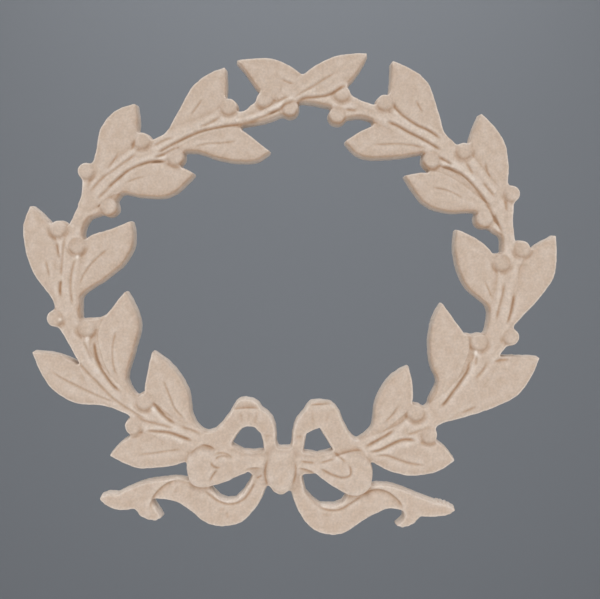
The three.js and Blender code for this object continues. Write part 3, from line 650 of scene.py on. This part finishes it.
def oval_gap(relief, middle, wide, high):
    """The same for an oval of that half width and half height."""
    place, x, z = relief.window(np.array([middle]), max(wide, high) + NEAR_REACH)
    radius = np.hypot((x - middle[0]) / wide, (z - middle[1]) / high)
    return place, (1 - radius) * min(wide, high), np.clip(1 - radius ** 2, 0, 1)


def add_leaf(relief, row, lift=0.0):
    """A leaf with a low crown."""
    foot, tip, left_widths, right_widths = row
    foot = np.array(foot)
    run = math.dist(foot, tip)
    ahead = (np.array(tip) - foot) / run
    side = np.array([-ahead[1], ahead[0]])
    left = through(WIDTH_SHARES, [*left_widths, LEAF_TIP_HALF])
    right = through(WIDTH_SHARES, [*right_widths, LEAF_TIP_HALF])
    shares = np.linspace(0, 1, LEAF_STEPS)[:, None]
    left_edge = foot + ahead * run * shares + side * left(shares)
    right_edge = foot + ahead * run * shares - side * right(shares)
    place, _, gap = polygon_place(relief, np.concatenate([left_edge, right_edge[::-1]]))
    crown = round_step((gap + LEAF_CROWN_START) / LEAF_CROWN_RUN)
    relief.add(place, gap, LEAF_FACE + lift + LEAF_CROWN * crown + np.minimum(gap, 0) * FALL)


def add_strip(relief, rows, face, crown=0.0, soft=FACE_FILLET):
    """A strip along a line, with a raised or hollow middle."""
    place, gap, middle = strip_gap(relief, rows)
    relief.add(place, gap, face + crown * middle + np.minimum(gap, 0) * FALL, soft)


def lay(relief, parts, foot, face, turn, swell):
    """Lays joined parts over the relief as one layer with rounded edges. The middle of each part swells by
    its own amount."""
    gap = np.full_like(relief.gap, -FAR)
    bulge = np.zeros_like(relief.gap)
    for (place, inside, middle), amount in zip(parts, swell):
        gap[place] = smooth_max(gap[place], inside, PART_FILLET)
        bulge[place] += np.where(inside > 0, amount * middle, 0)
    level = foot + (face - foot) * quarter_round(gap / turn) + blur(bulge, gap > -1, SOFTENING)
    relief.add(slice(None), gap, level + np.minimum(gap, 0) * LAYER_FALL, LAYER_FILLET)


def add_stalk(relief, stem, point):
    """The stalk that leaves a berry, joins the stem and runs down along it."""
    points, places = stem
    near = int(np.argmin(np.hypot(points[:, 0] - point[0], points[:, 1] - point[1])))

    def beside(back, share):
        i = int(np.argmin(np.abs(places - (places[near] - back))))
        i = min(max(i, 1), len(points) - 2)
        dx, dz = points[i + 1, :2] - points[i - 1, :2]
        size = math.hypot(dx, dz)
        side = np.sign(dx * (point[1] - points[i, 1]) - dz * (point[0] - points[i, 0]))
        reach = points[i, 2] * share * side
        return [points[i, 0] - dz / size * reach, points[i, 1] + dx / size * reach]

    closer = beside(*STALK_JOIN)
    start = [(point[0] + closer[0]) / 2, (point[1] + closer[1]) / 2]
    rows = [[*place, STALK_HALF] for place in (point, start, closer, beside(*STALK_FOOT))]
    add_strip(relief, rows, STEM_FACE, STALK_CROWN, STALK_FILLET)


def add_berry(relief, middle):
    """A low dome that grows out of the wood above it and ends in a soft crescent below, with a painted shadow
    on its lower flank and in the moat.
    """
    place, x, z = relief.window(np.array([middle]), BERRY_RADIUS + WIDE_REACH)
    radius = np.hypot(x - middle[0], z - middle[1])
    outside = radius - BERRY_RADIUS
    below = round_step((middle[1] - z) / BERRY_LOWER_RUN + BERRY_LOWER_START)
    beside = round_step(relief.gap[place] / BERRY_SIDE_RUN)
    inside = round_step((BERRY_BRIM - outside) / BERRY_EDGE)
    share = np.clip(radius / BERRY_RADIUS, 0, 1)
    dome = BERRY_RISE * inside * (1 - share ** (2 + BERRY_FULLNESS * below))
    moat = below * beside * bell(outside - BERRY_BRIM, BERRY_MOAT_HALF)
    flank_shadow = below * bell(outside + BERRY_FLANK, BERRY_FLANK_HALF)
    foot = BERRY_FOOT - BERRY_DIP * below * share ** 4
    ground = relief.level[place] * (1 - inside) + foot * inside
    relief.level[place] = ground + dome - BERRY_MOAT * moat
    relief.dome[place] = np.maximum(relief.dome[place], dome)
    # Painted shadow under the berry, on its lower flank and in the moat.
    relief.shade[place] = np.maximum(relief.shade[place], BERRY_PAINTED_SHADOW * np.maximum(moat, flank_shadow))
    relief.gap[place] = smooth_max(relief.gap[place], -outside, BERRY_FILLET)


def add_stalk_end(relief, point):
    """The small pale knob where a stalk meets its berry."""
    place, x, z = relief.window(np.array([point]), 4 * STALK_END_SIZE)
    knob = bell(np.hypot(x - point[0], z - point[1]), STALK_END_SIZE)
    relief.level[place] += STALK_END_RISE * knob
    relief.shade[place] -= STALK_END_TONE * knob


def cut(relief, lines, size):
    """Grooves along lines, that run out at both ends."""
    depth, half = size
    for line in lines:
        points, places = course([[x, z, half] for x, z in line], GROOVE_SPACING)
        place, x, z = relief.window(points[:, :2], 3 * half)
        gap, along, _, _ = strip(x, z, points, places)
        fade = run_out(along, places[-1], GROOVE_PARTS)
        relief.level[place] -= depth * fade * bell(np.maximum(half - gap, 0), half)


def fold(relief, line):
    """Where one layer of ribbon passes over another: the lower one lies to the right of the line and comes
    back up a little way off."""
    points, places = course([[x, z, FOLD_LINE] for x, z in line], GROOVE_SPACING)
    place, x, z = relief.window(points[:, :2], 4 * FOLD_RUN)
    gap, along, offset, _ = strip(x, z, points, places)
    away = np.maximum(FOLD_LINE - gap, 0)
    fade = run_out(along, places[-1], FOLD_PARTS)
    side = round_step(0.5 - offset / FOLD_EDGE)
    lone = np.where(np.abs(offset) < FOLD_END_SLOPE * away - FOLD_END_SLACK, 0, 1)
    relief.level[place] -= FOLD_DEPTH * fade * side * lone * np.exp(-away / FOLD_RUN)


def shape_loop(bow, outline):
    """Gives an upper loop of the bow its outline."""
    place, z, inside = polygon_place(bow, outline, WIDE_REACH)
    share = round_step((z - LOOP_FOOT) / LOOP_BLEND)
    share = share * round_step((WIDE_REACH - np.abs(inside)) / (WIDE_REACH / 2))
    face = BACK_RIBBON_FACE - LOOP_DROP + np.minimum(inside, 0) * FALL
    bow.level[place] = np.where(share > 0, smooth_max(bow.level[place], face, BOW_FILLET), bow.level[place])
    bow.gap[place] = bow.gap[place] * (1 - share) + inside * share


def open_hole(bow, outline):
    """Opens the bow inside an outline and closes what is left of a wider opening round it."""
    place, _, inside = polygon_place(bow, outline, WIDE_REACH)
    round_it = inside > -2 * HOLE_REACH
    gap = np.where(round_it, np.maximum(bow.gap[place], HOLE_REACH), bow.gap[place])
    level = np.maximum(bow.level[place], BACK_RIBBON_FACE - HOLE_DROP)
    bow.gap[place] = np.where(inside > -HOLE_REACH, -inside, gap)
    bow.level[place] = np.where(round_it, level, bow.level[place])


def carve_sprays():
    """The two sprays with their grooves and ribs."""
    relief = Relief()
    for rows in WEBS:
        add_strip(relief, rows, WEB_FACE)
    add_leaf(relief, RIGHT_END_LEAF)
    for stem_rows, leaves, berries in (
        (LEFT_STEM, LEFT_LEAVES, LEFT_BERRIES),
        (RIGHT_STEM, RIGHT_LEAVES, RIGHT_BERRIES),
    ):
        for row in leaves:
            add_leaf(relief, row)
        add_strip(relief, stem_rows, STEM_FACE, STEM_CROWN, STEM_FILLET)
        stem = course(stem_rows, STEM_SPACING)
        for middle in berries:
            add_stalk(relief, stem, middle)
    add_leaf(relief, LEFT_END_LEAF, TOP_LIFT)
    for middle in LEFT_BERRIES + RIGHT_BERRIES:
        add_berry(relief, middle)
    for point in STALK_ENDS:
        add_stalk_end(relief, point)
    add_strip(relief, TOP_STRAND, STEM_FACE + TOP_LIFT, STEM_CROWN)
    cut(relief, DEEP_GROOVES, DEEP_CUT)
    cut(relief, SOFT_GROOVES, SOFT_CUT)
    cut(relief, RIBS, RIB_CUT)
    return relief


def carve_bow():
    """The ribbons, turns and knot of the bow with their folds and creases."""
    bow = Relief()
    for rows in BACK_RIBBONS + BOW_WEBS:
        hollow = RIBBON_HOLLOW if len(rows) > LONG_RIBBON else 0
        add_strip(bow, rows, BACK_RIBBON_FACE, -hollow, BOW_FILLET)
    place, _, inside = polygon_place(bow, KNOT_PLATE)
    bow.add(place, inside, np.full_like(inside, BACK_RIBBON_FACE))
    for outline in LOOPS:
        shape_loop(bow, outline)
    flat = np.maximum(bow.level, BACK_RIBBON_FACE)
    parts = [strip_gap(bow, rows) for rows in FRONT_RIBBONS]
    parts += [oval_gap(bow, *row) for row in TURNS]
    lay(bow, parts, BACK_RIBBON_FACE, FRONT_RIBBON_FACE, RIBBON_TURN, [0.0, 0.0, TURN_SWELL, TURN_SWELL])
    place, _, inside = polygon_place(bow, KNOT_OUTLINE)
    knot = (place, inside, round_step(inside / KNOT_HALF))
    lay(bow, [knot], BACK_RIBBON_FACE + KNOT_STEP, KNOT_FACE, KNOT_TURN, [KNOT_SWELL])
    bow.dome = LAYER_DOME * blur(bow.level - flat, bow.gap > -BOW_BORDER, SOFTENING)
    for outline in HOLES:
        open_hole(bow, outline)
    bow.level = blur(bow.level, bow.gap > -BOW_BORDER, SOFTENING)
    for line in FOLDS:
        fold(bow, line)
    cut(bow, CREASES, CREASE_CUT)
    cut(bow, FAINT_CREASES, FAINT_CUT)
    return bow


def carve():
    """Outline and face of the whole wreath: the bow laid over the sprays, and the burrs."""
    relief = carve_sprays()
    bow = carve_bow()
    over = round_step(0.5 + bow.gap / BOW_BLEND)
    relief.level = relief.level * (1 - over) + np.maximum(relief.level, bow.level) * over
    buried = round_step(bow.gap / BOW_COVER)
    relief.level = relief.level * (1 - buried) + bow.level * buried
    relief.dome = relief.dome * (1 - over) + bow.dome * over
    relief.bow = over
    relief.gap = smooth_max(relief.gap, bow.gap, OUTLINE_FILLET)
    for x, z, radius in BURRS:
        place, inside, _ = oval_gap(relief, [x, z], radius, radius)
        relief.gap[place] = smooth_max(relief.gap[place], inside, BURR_FILLET)
    return relief


def corners(field):
    """The four corners of every cell of the grid."""
    return field[:-1, :-1], field[1:, :-1], field[:-1, 1:], field[1:, 1:]


def contour_mesh(relief, values):
    """Points and triangles that fill the part of the grid where values are above 0."""
    slope_z, slope_x = np.gradient(values, PITCH)
    size = np.maximum(np.hypot(slope_x, slope_z), LEAST_SLOPE)
    near = np.abs(values) < SNAP * PITCH * size
    x, z = np.meshgrid(relief.x, relief.z)
    x = np.where(near, x - values * slope_x / size ** 2, x)
    z = np.where(near, z - values * slope_z / size ** 2, z)
    values = np.where(near, 0, values)
    kept = values >= 0
    whole = np.all(corners(kept), axis=0)
    touched = np.any(corners(values > 0), axis=0)
    used = np.zeros(values.shape, bool)
    for corner in corners(used):
        corner |= touched
    used &= kept
    count = int(used.sum())
    number = np.full(values.shape, -1)
    number[used] = np.arange(count)
    cells = whole & touched
    a, d, b, c = (corner[cells] for corner in corners(number))
    odd = (np.argwhere(cells).sum(axis=1) % 2 == 1)[:, None]
    first = np.where(odd, np.stack([a, b, c], 1), np.stack([a, b, d], 1))
    second = np.where(odd, np.stack([a, c, d], 1), np.stack([b, c, d], 1))
    crossings = {}
    extra = []
    partial = []
    for line, column in np.argwhere(touched & ~whole):
        cell = [(line, column), (line, column + 1), (line + 1, column + 1), (line + 1, column)]
        ring = []
        for start, end in zip(cell, cell[1:] + cell[:1]):
            here, there = values[start], values[end]
            if here >= 0:
                ring.append(number[start])
            if here * there < 0:
                key = (min(start, end), max(start, end))
                if key not in crossings:
                    share = here / (here - there)
                    crossings[key] = count + len(extra)
                    extra.append([x[start] + (x[end] - x[start]) * share,
                                  z[start] + (z[end] - z[start]) * share])
                ring.append(crossings[key])
        partial.extend([ring[0], ring[k], ring[k + 1]] for k in range(1, len(ring) - 1))
    points = np.concatenate([np.stack([x[used], z[used]], axis=1), np.array(extra).reshape(-1, 2)])
    return points, np.concatenate([first, second, np.array(partial, int).reshape(-1, 3)])


def sample(relief, field, points):
    """A field of the grid at points between its nodes."""
    u = np.clip((points[:, 0] - relief.x[0]) / PITCH, 0, len(relief.x) - 1.001)
    v = np.clip((points[:, 1] - relief.z[0]) / PITCH, 0, len(relief.z) - 1.001)
    i, j = u.astype(int), v.astype(int)
    s, t = u - i, v - j
    low = field[j, i] * (1 - s) + field[j, i + 1] * s
    high = field[j + 1, i] * (1 - s) + field[j + 1, i + 1] * s
    return low * (1 - t) + high * t


def rim(faces):
    """Directed edges that only one face has."""
    edges = np.concatenate([faces[:, [0, 1]], faces[:, [1, 2]], faces[:, [2, 0]]])
    base = np.int64(faces.max() + 1)
    return edges[~np.isin(edges @ [base, 1], edges @ [1, base])]


def outline_distance(relief):
    """True distance to the outline, up to WALL_REACH, everywhere on the grid."""
    points, faces = contour_mesh(relief, relief.gap)
    nearest = np.full(relief.gap.shape, WALL_REACH ** 2)
    for ends in rim(faces):
        start, end = points[ends]
        place, x, z = relief.window(points[ends], WALL_REACH)
        step = end - start
        t = ((x - start[0]) * step[0] + (z - start[1]) * step[1]) / (step @ step + TINY_STEP)
        t = np.clip(t, 0, 1)
        away = (x - start[0] - t * step[0]) ** 2 + (z - start[1] - t * step[1]) ** 2
        nearest[place] = np.minimum(nearest[place], away)
    return np.where(relief.gap > 0, np.sqrt(nearest), -np.sqrt(nearest))


def blur(field, mask, reach):
    """Mean of a field round each place, counting only places in the mask."""
    size = max(1, int(round(reach / PITCH)))
    width = 2 * size + 1

    def turned_mean(values):
        total = np.cumsum(np.pad(values, ((size + 1, size), (0, 0)), mode="edge"), axis=0)
        return ((total[width:] - total[:-width]) / width).T

    value = np.where(mask, field, 0)
    weight = mask.astype(float)
    for _ in range(4):
        value = turned_mean(value)
        weight = turned_mean(weight)
    return value / np.maximum(weight, TINY)


def unevenness(shape, reach, size):
    """Smooth random waves of that reach and height."""
    noise = np.random.default_rng(SEED + int(reach * 10)).standard_normal(shape)
    smooth = blur(noise, np.ones(shape, bool), reach)
    return smooth / smooth.std() * size


def fill(points, edges):
    """Triangles that fill the outlines, whose edges run round them with the wood on the left, and the points
    used: those given, and one more wherever two edges cross."""
    flat = [Vector(place) for place in points.tolist()]
    found_points, lines, found, origins, sources, _ = delaunay_2d_cdt(flat, edges.tolist(), [], 0, TINY)
    places = np.array([list(place) for place in found_points])
    number = []
    extra = []
    for k, origin in enumerate(origins):
        if origin:
            number.append(origin[0])
        else:
            number.append(len(points) + len(extra))
            extra.append(places[k])
    triangles = []
    owner = {}
    for k, (a, b, c) in enumerate(found):
        one, two = places[b] - places[a], places[c] - places[a]
        ring = (a, b, c) if one[0] * two[1] - one[1] * two[0] > 0 else (a, c, b)
        triangles.append(ring)
        for start, end in zip(ring, ring[1:] + ring[:1]):
            owner[(start, end)] = k
    walls = set()
    waiting = []
    for (a, b), source in zip(lines, sources):
        if not source:
            continue
        start, end = edges[source[0]]
        if (places[b] - places[a]) @ (points[end] - points[start]) < 0:
            a, b = b, a
        walls.update([(a, b), (b, a)])
        if (a, b) in owner:
            waiting.append(owner[(a, b)])
    kept = set(waiting)
    while waiting:
        ring = triangles[waiting.pop()]
        for start, end in zip(ring, ring[1:] + ring[:1]):
            other = owner.get((end, start))
            if (start, end) not in walls and other is not None and other not in kept:
                kept.add(other)
                waiting.append(other)
    used = np.concatenate([points, np.array(extra).reshape(-1, 2)])
    return np.array([[number[corner] for corner in triangles[k]] for k in sorted(kept)]), used


def wood_tone_and_painted_light(relief, face, distance):
    """How light the wood is painted at each place of the face: painted shade in grooves and hollows, partly
    the wood's own browner colour there, painted highlight on rises and outer edges, painted shade on inner
    edges.
    """
    ground = face - relief.dome
    # Painted shade in grooves and hollows, partly the browner colour the wood has there, painted highlight on
    # rises, and the painted shadow under the berries.
    tone_and_painted_light = ground - blur(ground, relief.gap > 0, TONE_REACH) - relief.shade
    rise_z, rise_x = np.gradient(blur(distance, distance > -FAR, SOFTENING), PITCH)
    x, z = np.meshgrid(relief.x, relief.z)
    inward = rise_x * (x - MIDDLE[0]) + rise_z * (z - MIDDLE[1])
    inward = round_step(0.5 + inward / np.hypot(x - MIDDLE[0], z - MIDDLE[1])) * (1 - relief.bow)
    inward *= UP_EDGE_SHARE + (1 - UP_EDGE_SHARE) * round_step(0.5 + UP_EDGE_SLOPE * rise_z)
    # Painted highlight along the outer edges and painted shade along edges that face the middle, less where
    # they face up to the light and on the bow.
    edge_painted_light_and_shade = OUTER_EDGE_PAINTED_HIGHLIGHT + (INNER_EDGE_PAINTED_SHADE - OUTER_EDGE_PAINTED_HIGHLIGHT) * inward
    edge_painted_light_and_shade *= 1 - (1 - BOW_EDGE_SHARE) * relief.bow
    return tone_and_painted_light + edge_painted_light_and_shade * np.clip(1 - np.abs(distance - WALL_LEAN - EDGE_BAND) / EDGE_BAND_HALF, 0, 1)


def closed_mesh(relief, distance, height):
    """Vertices and triangles of the carved face, the side and the flat back."""
    points, faces = contour_mesh(relief, distance - WALL_LEAN)
    top = sample(relief, height, points)
    edges = rim(faces)
    loop = np.unique(edges)
    order = np.full(len(points), -1)
    order[loop] = np.arange(len(loop))
    slope_z, slope_x = np.gradient(distance, PITCH)
    away = -np.stack([sample(relief, slope, points[loop]) for slope in (slope_x, slope_z)], axis=1)
    away /= np.maximum(np.hypot(away[:, 0], away[:, 1])[:, None], LEAST_STEEPNESS)
    back, ground = fill(points[loop] + away * WALL_LEAN, order[edges])
    a, b = edges.T
    c, d = len(points) + order[edges.T]
    vertices = np.concatenate([
        np.stack([points[:, 0], -top, points[:, 1]], axis=1),
        np.stack([ground[:, 0], np.zeros(len(ground)), ground[:, 1]], axis=1),
    ])
    side = [np.stack([b, a, d], axis=1), np.stack([a, c, d], axis=1)]
    return np.clip(vertices, LOW, HIGH) * MM, np.concatenate([faces, *side, back[:, ::-1] + len(points)])


def put(name, data):
    """A new object in the scene."""
    thing = bpy.data.objects.new(name, data)
    bpy.context.scene.collection.objects.link(thing)
    return thing


def build_wreath():
    """The whole carving in one closed mesh, which also holds the tone of the wood with its painted light and
    shade.
    """
    relief = carve()
    shape = relief.gap.shape
    relief.gap += unevenness(shape, *OUTLINE_WAVES)
    distance = outline_distance(relief)
    face = relief.level + unevenness(shape, *FACE_WAVES) + unevenness(shape, *FACE_GRAIN)
    height = face - EDGE_TURN * (1 - quarter_round((distance - WALL_LEAN) / EDGE_TURN))
    vertices, triangles = closed_mesh(relief, distance, height)
    mesh = bpy.data.meshes.new("wreath_sculpt")
    mesh.from_pydata(vertices.tolist(), [], triangles.tolist())
    piece = put("wreath_carving", mesh)
    thin = piece.modifiers.new("thin", "DECIMATE")
    thin.ratio = TRIANGLES / len(triangles)
    thinned = bpy.data.meshes.new_from_object(piece.evaluated_get(bpy.context.evaluated_depsgraph_get()))
    piece.modifiers.clear()
    piece.data = thinned
    places = np.zeros(len(thinned.vertices) * 3)
    thinned.vertices.foreach_get("co", places)
    places = places.reshape(-1, 3) / MM
    tone_and_painted_light = sample(relief, wood_tone_and_painted_light(relief, face, distance), places[:, [0, 2]])
    # The sides are painted lighter: a painted light for the light they catch.
    tone_and_painted_light = np.where(-places[:, 1] < WALL_TOP, WALL_PAINTED_LIGHT, tone_and_painted_light)
    stored = thinned.attributes.new("tone_and_painted_light", "FLOAT", "POINT")
    stored.data.foreach_set("value", tone_and_painted_light.astype(np.float32))
    normals = np.zeros(len(thinned.polygons) * 3)
    thinned.polygons.foreach_get("normal", normals)
    thinned.polygons.foreach_set("use_smooth", normals.reshape(-1, 3)[:, 1] < BACK_NORMAL)
    return piece


def set_values(node, values):
    for name, value in values.items():
        node.inputs[name].default_value = value


def add_node(tree, kind, source, socket, values):
    """A node with its values set, and one of its sockets fed by a source."""
    node = tree.nodes.new(kind)
    set_values(node, values)
    tree.links.new(source, node.inputs[socket])
    return node


def colours(tree, source, stops):
    """A colour for each value of the source, between stops of place and colour."""
    ramp = add_node(tree, "ShaderNodeValToRGB", source, "Fac", {})
    elements = ramp.color_ramp.elements
    elements[0].position, elements[0].color = stops[0]
    elements[1].position, elements[1].color = stops[-1]
    for place, colour in stops[1:-1]:
        elements.new(place).color = colour
    return ramp.outputs["Color"]


def product(tree, first, second):
    """Two colours multiplied."""
    mix = tree.nodes.new("ShaderNodeMix")
    mix.data_type = "RGBA"
    mix.blend_type = "MULTIPLY"
    mix.inputs["Factor"].default_value = 1
    tree.links.new(first, mix.inputs["A"])
    tree.links.new(second, mix.inputs["B"])
    return mix.outputs["Result"]


def new_material(name, values):
    """A material with values set on its shader."""
    material = bpy.data.materials.new(name)
    material.use_nodes = True
    set_values(material.node_tree.nodes["Principled BSDF"], values)
    return material


def wood_material():
    """Pale unfinished wood, browner in the grooves and lighter on the ridges: painted shade there, partly the
    wood's own browner colour, and painted highlight, with painted light on the sides and edges.
    """
    material = new_material("pale_wood_with_painted_light", WOOD_GLOSS)
    tree = material.node_tree
    shader = tree.nodes["Principled BSDF"]
    tone_and_painted_light = tree.nodes.new("ShaderNodeAttribute")
    tone_and_painted_light.attribute_name = "tone_and_painted_light"
    spread = add_node(tree, "ShaderNodeMapRange", tone_and_painted_light.outputs["Fac"], "Value", TONE_RANGE)
    place = tree.nodes.new("ShaderNodeTexCoord").outputs["Object"]
    speckle = add_node(tree, "ShaderNodeTexNoise", place, "Vector", SPECKLE_NOISE).outputs["Fac"]
    cloud = add_node(tree, "ShaderNodeTexNoise", place, "Vector", CLOUD_NOISE).outputs["Fac"]
    shade = add_node(tree, "ShaderNodeMapRange", speckle, "Value", SPECKLE_RANGE)
    wood = colours(tree, spread.outputs["Result"], TONE_COLOURS)
    tinted = product(tree, wood, colours(tree, cloud, CLOUD_COLOURS))
    tree.links.new(product(tree, tinted, shade.outputs["Result"]), shader.inputs["Base Color"])
    bump = add_node(tree, "ShaderNodeBump", speckle, "Height", WOOD_BUMP)
    tree.links.new(bump.outputs["Normal"], shader.inputs["Normal"])
    return material


def stage():
    """A pale floor and a grey backdrop behind it."""
    rows = [(-STAGE_HALF, FLOOR_Z), (STAGE_BACK, FLOOR_Z), (STAGE_BACK, STAGE_TOP)]
    mesh = bpy.data.meshes.new("floor")
    mesh.from_pydata([(x, y, z) for y, z in rows for x in (-STAGE_HALF, STAGE_HALF)], [],
                     [(0, 1, 3, 2), (2, 3, 5, 4)])
    mesh.polygons[1].material_index = 1
    mesh.materials.append(new_material("floor_pale", FLOOR_PAINT))
    mesh.materials.append(new_material("backdrop_grey", BACKDROP_PAINT))
    floor = put("floor", mesh)


def lights():
    """Soft lights round the wreath and an even pale world."""
    for name, place, size, power in LIGHTS:
        lamp = bpy.data.lights.new(name, "AREA")
        lamp.shape = "RECTANGLE"
        lamp.size, lamp.size_y = size
        lamp.energy = power
        holder = put(name, lamp)
        holder.location = place
        holder.rotation_euler = (Vector(LIGHT_TARGET) - Vector(place)).to_track_quat("-Z", "Y").to_euler()
    world = bpy.data.worlds.new("studio")
    bpy.context.scene.world = world
    world.use_nodes = True
    set_values(world.node_tree.nodes["Background"], WORLD_LIGHT)


def camera():
    """Square-on to the wreath, as in the photograph."""
    lens = bpy.data.cameras.new("camera")
    lens.lens = CAMERA_LENS
    holder = put("camera", lens)
    holder.location = CAMERA_PLACE
    holder.rotation_euler = (math.pi / 2, 0, 0)
    bpy.context.scene.camera = holder


wreath = build_wreath()
wreath.data.materials.append(wood_material())
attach(wreath, "root")
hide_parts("wreath")
stage()
lights()
camera()
bpy.context.scene.view_settings.view_transform = "Standard"
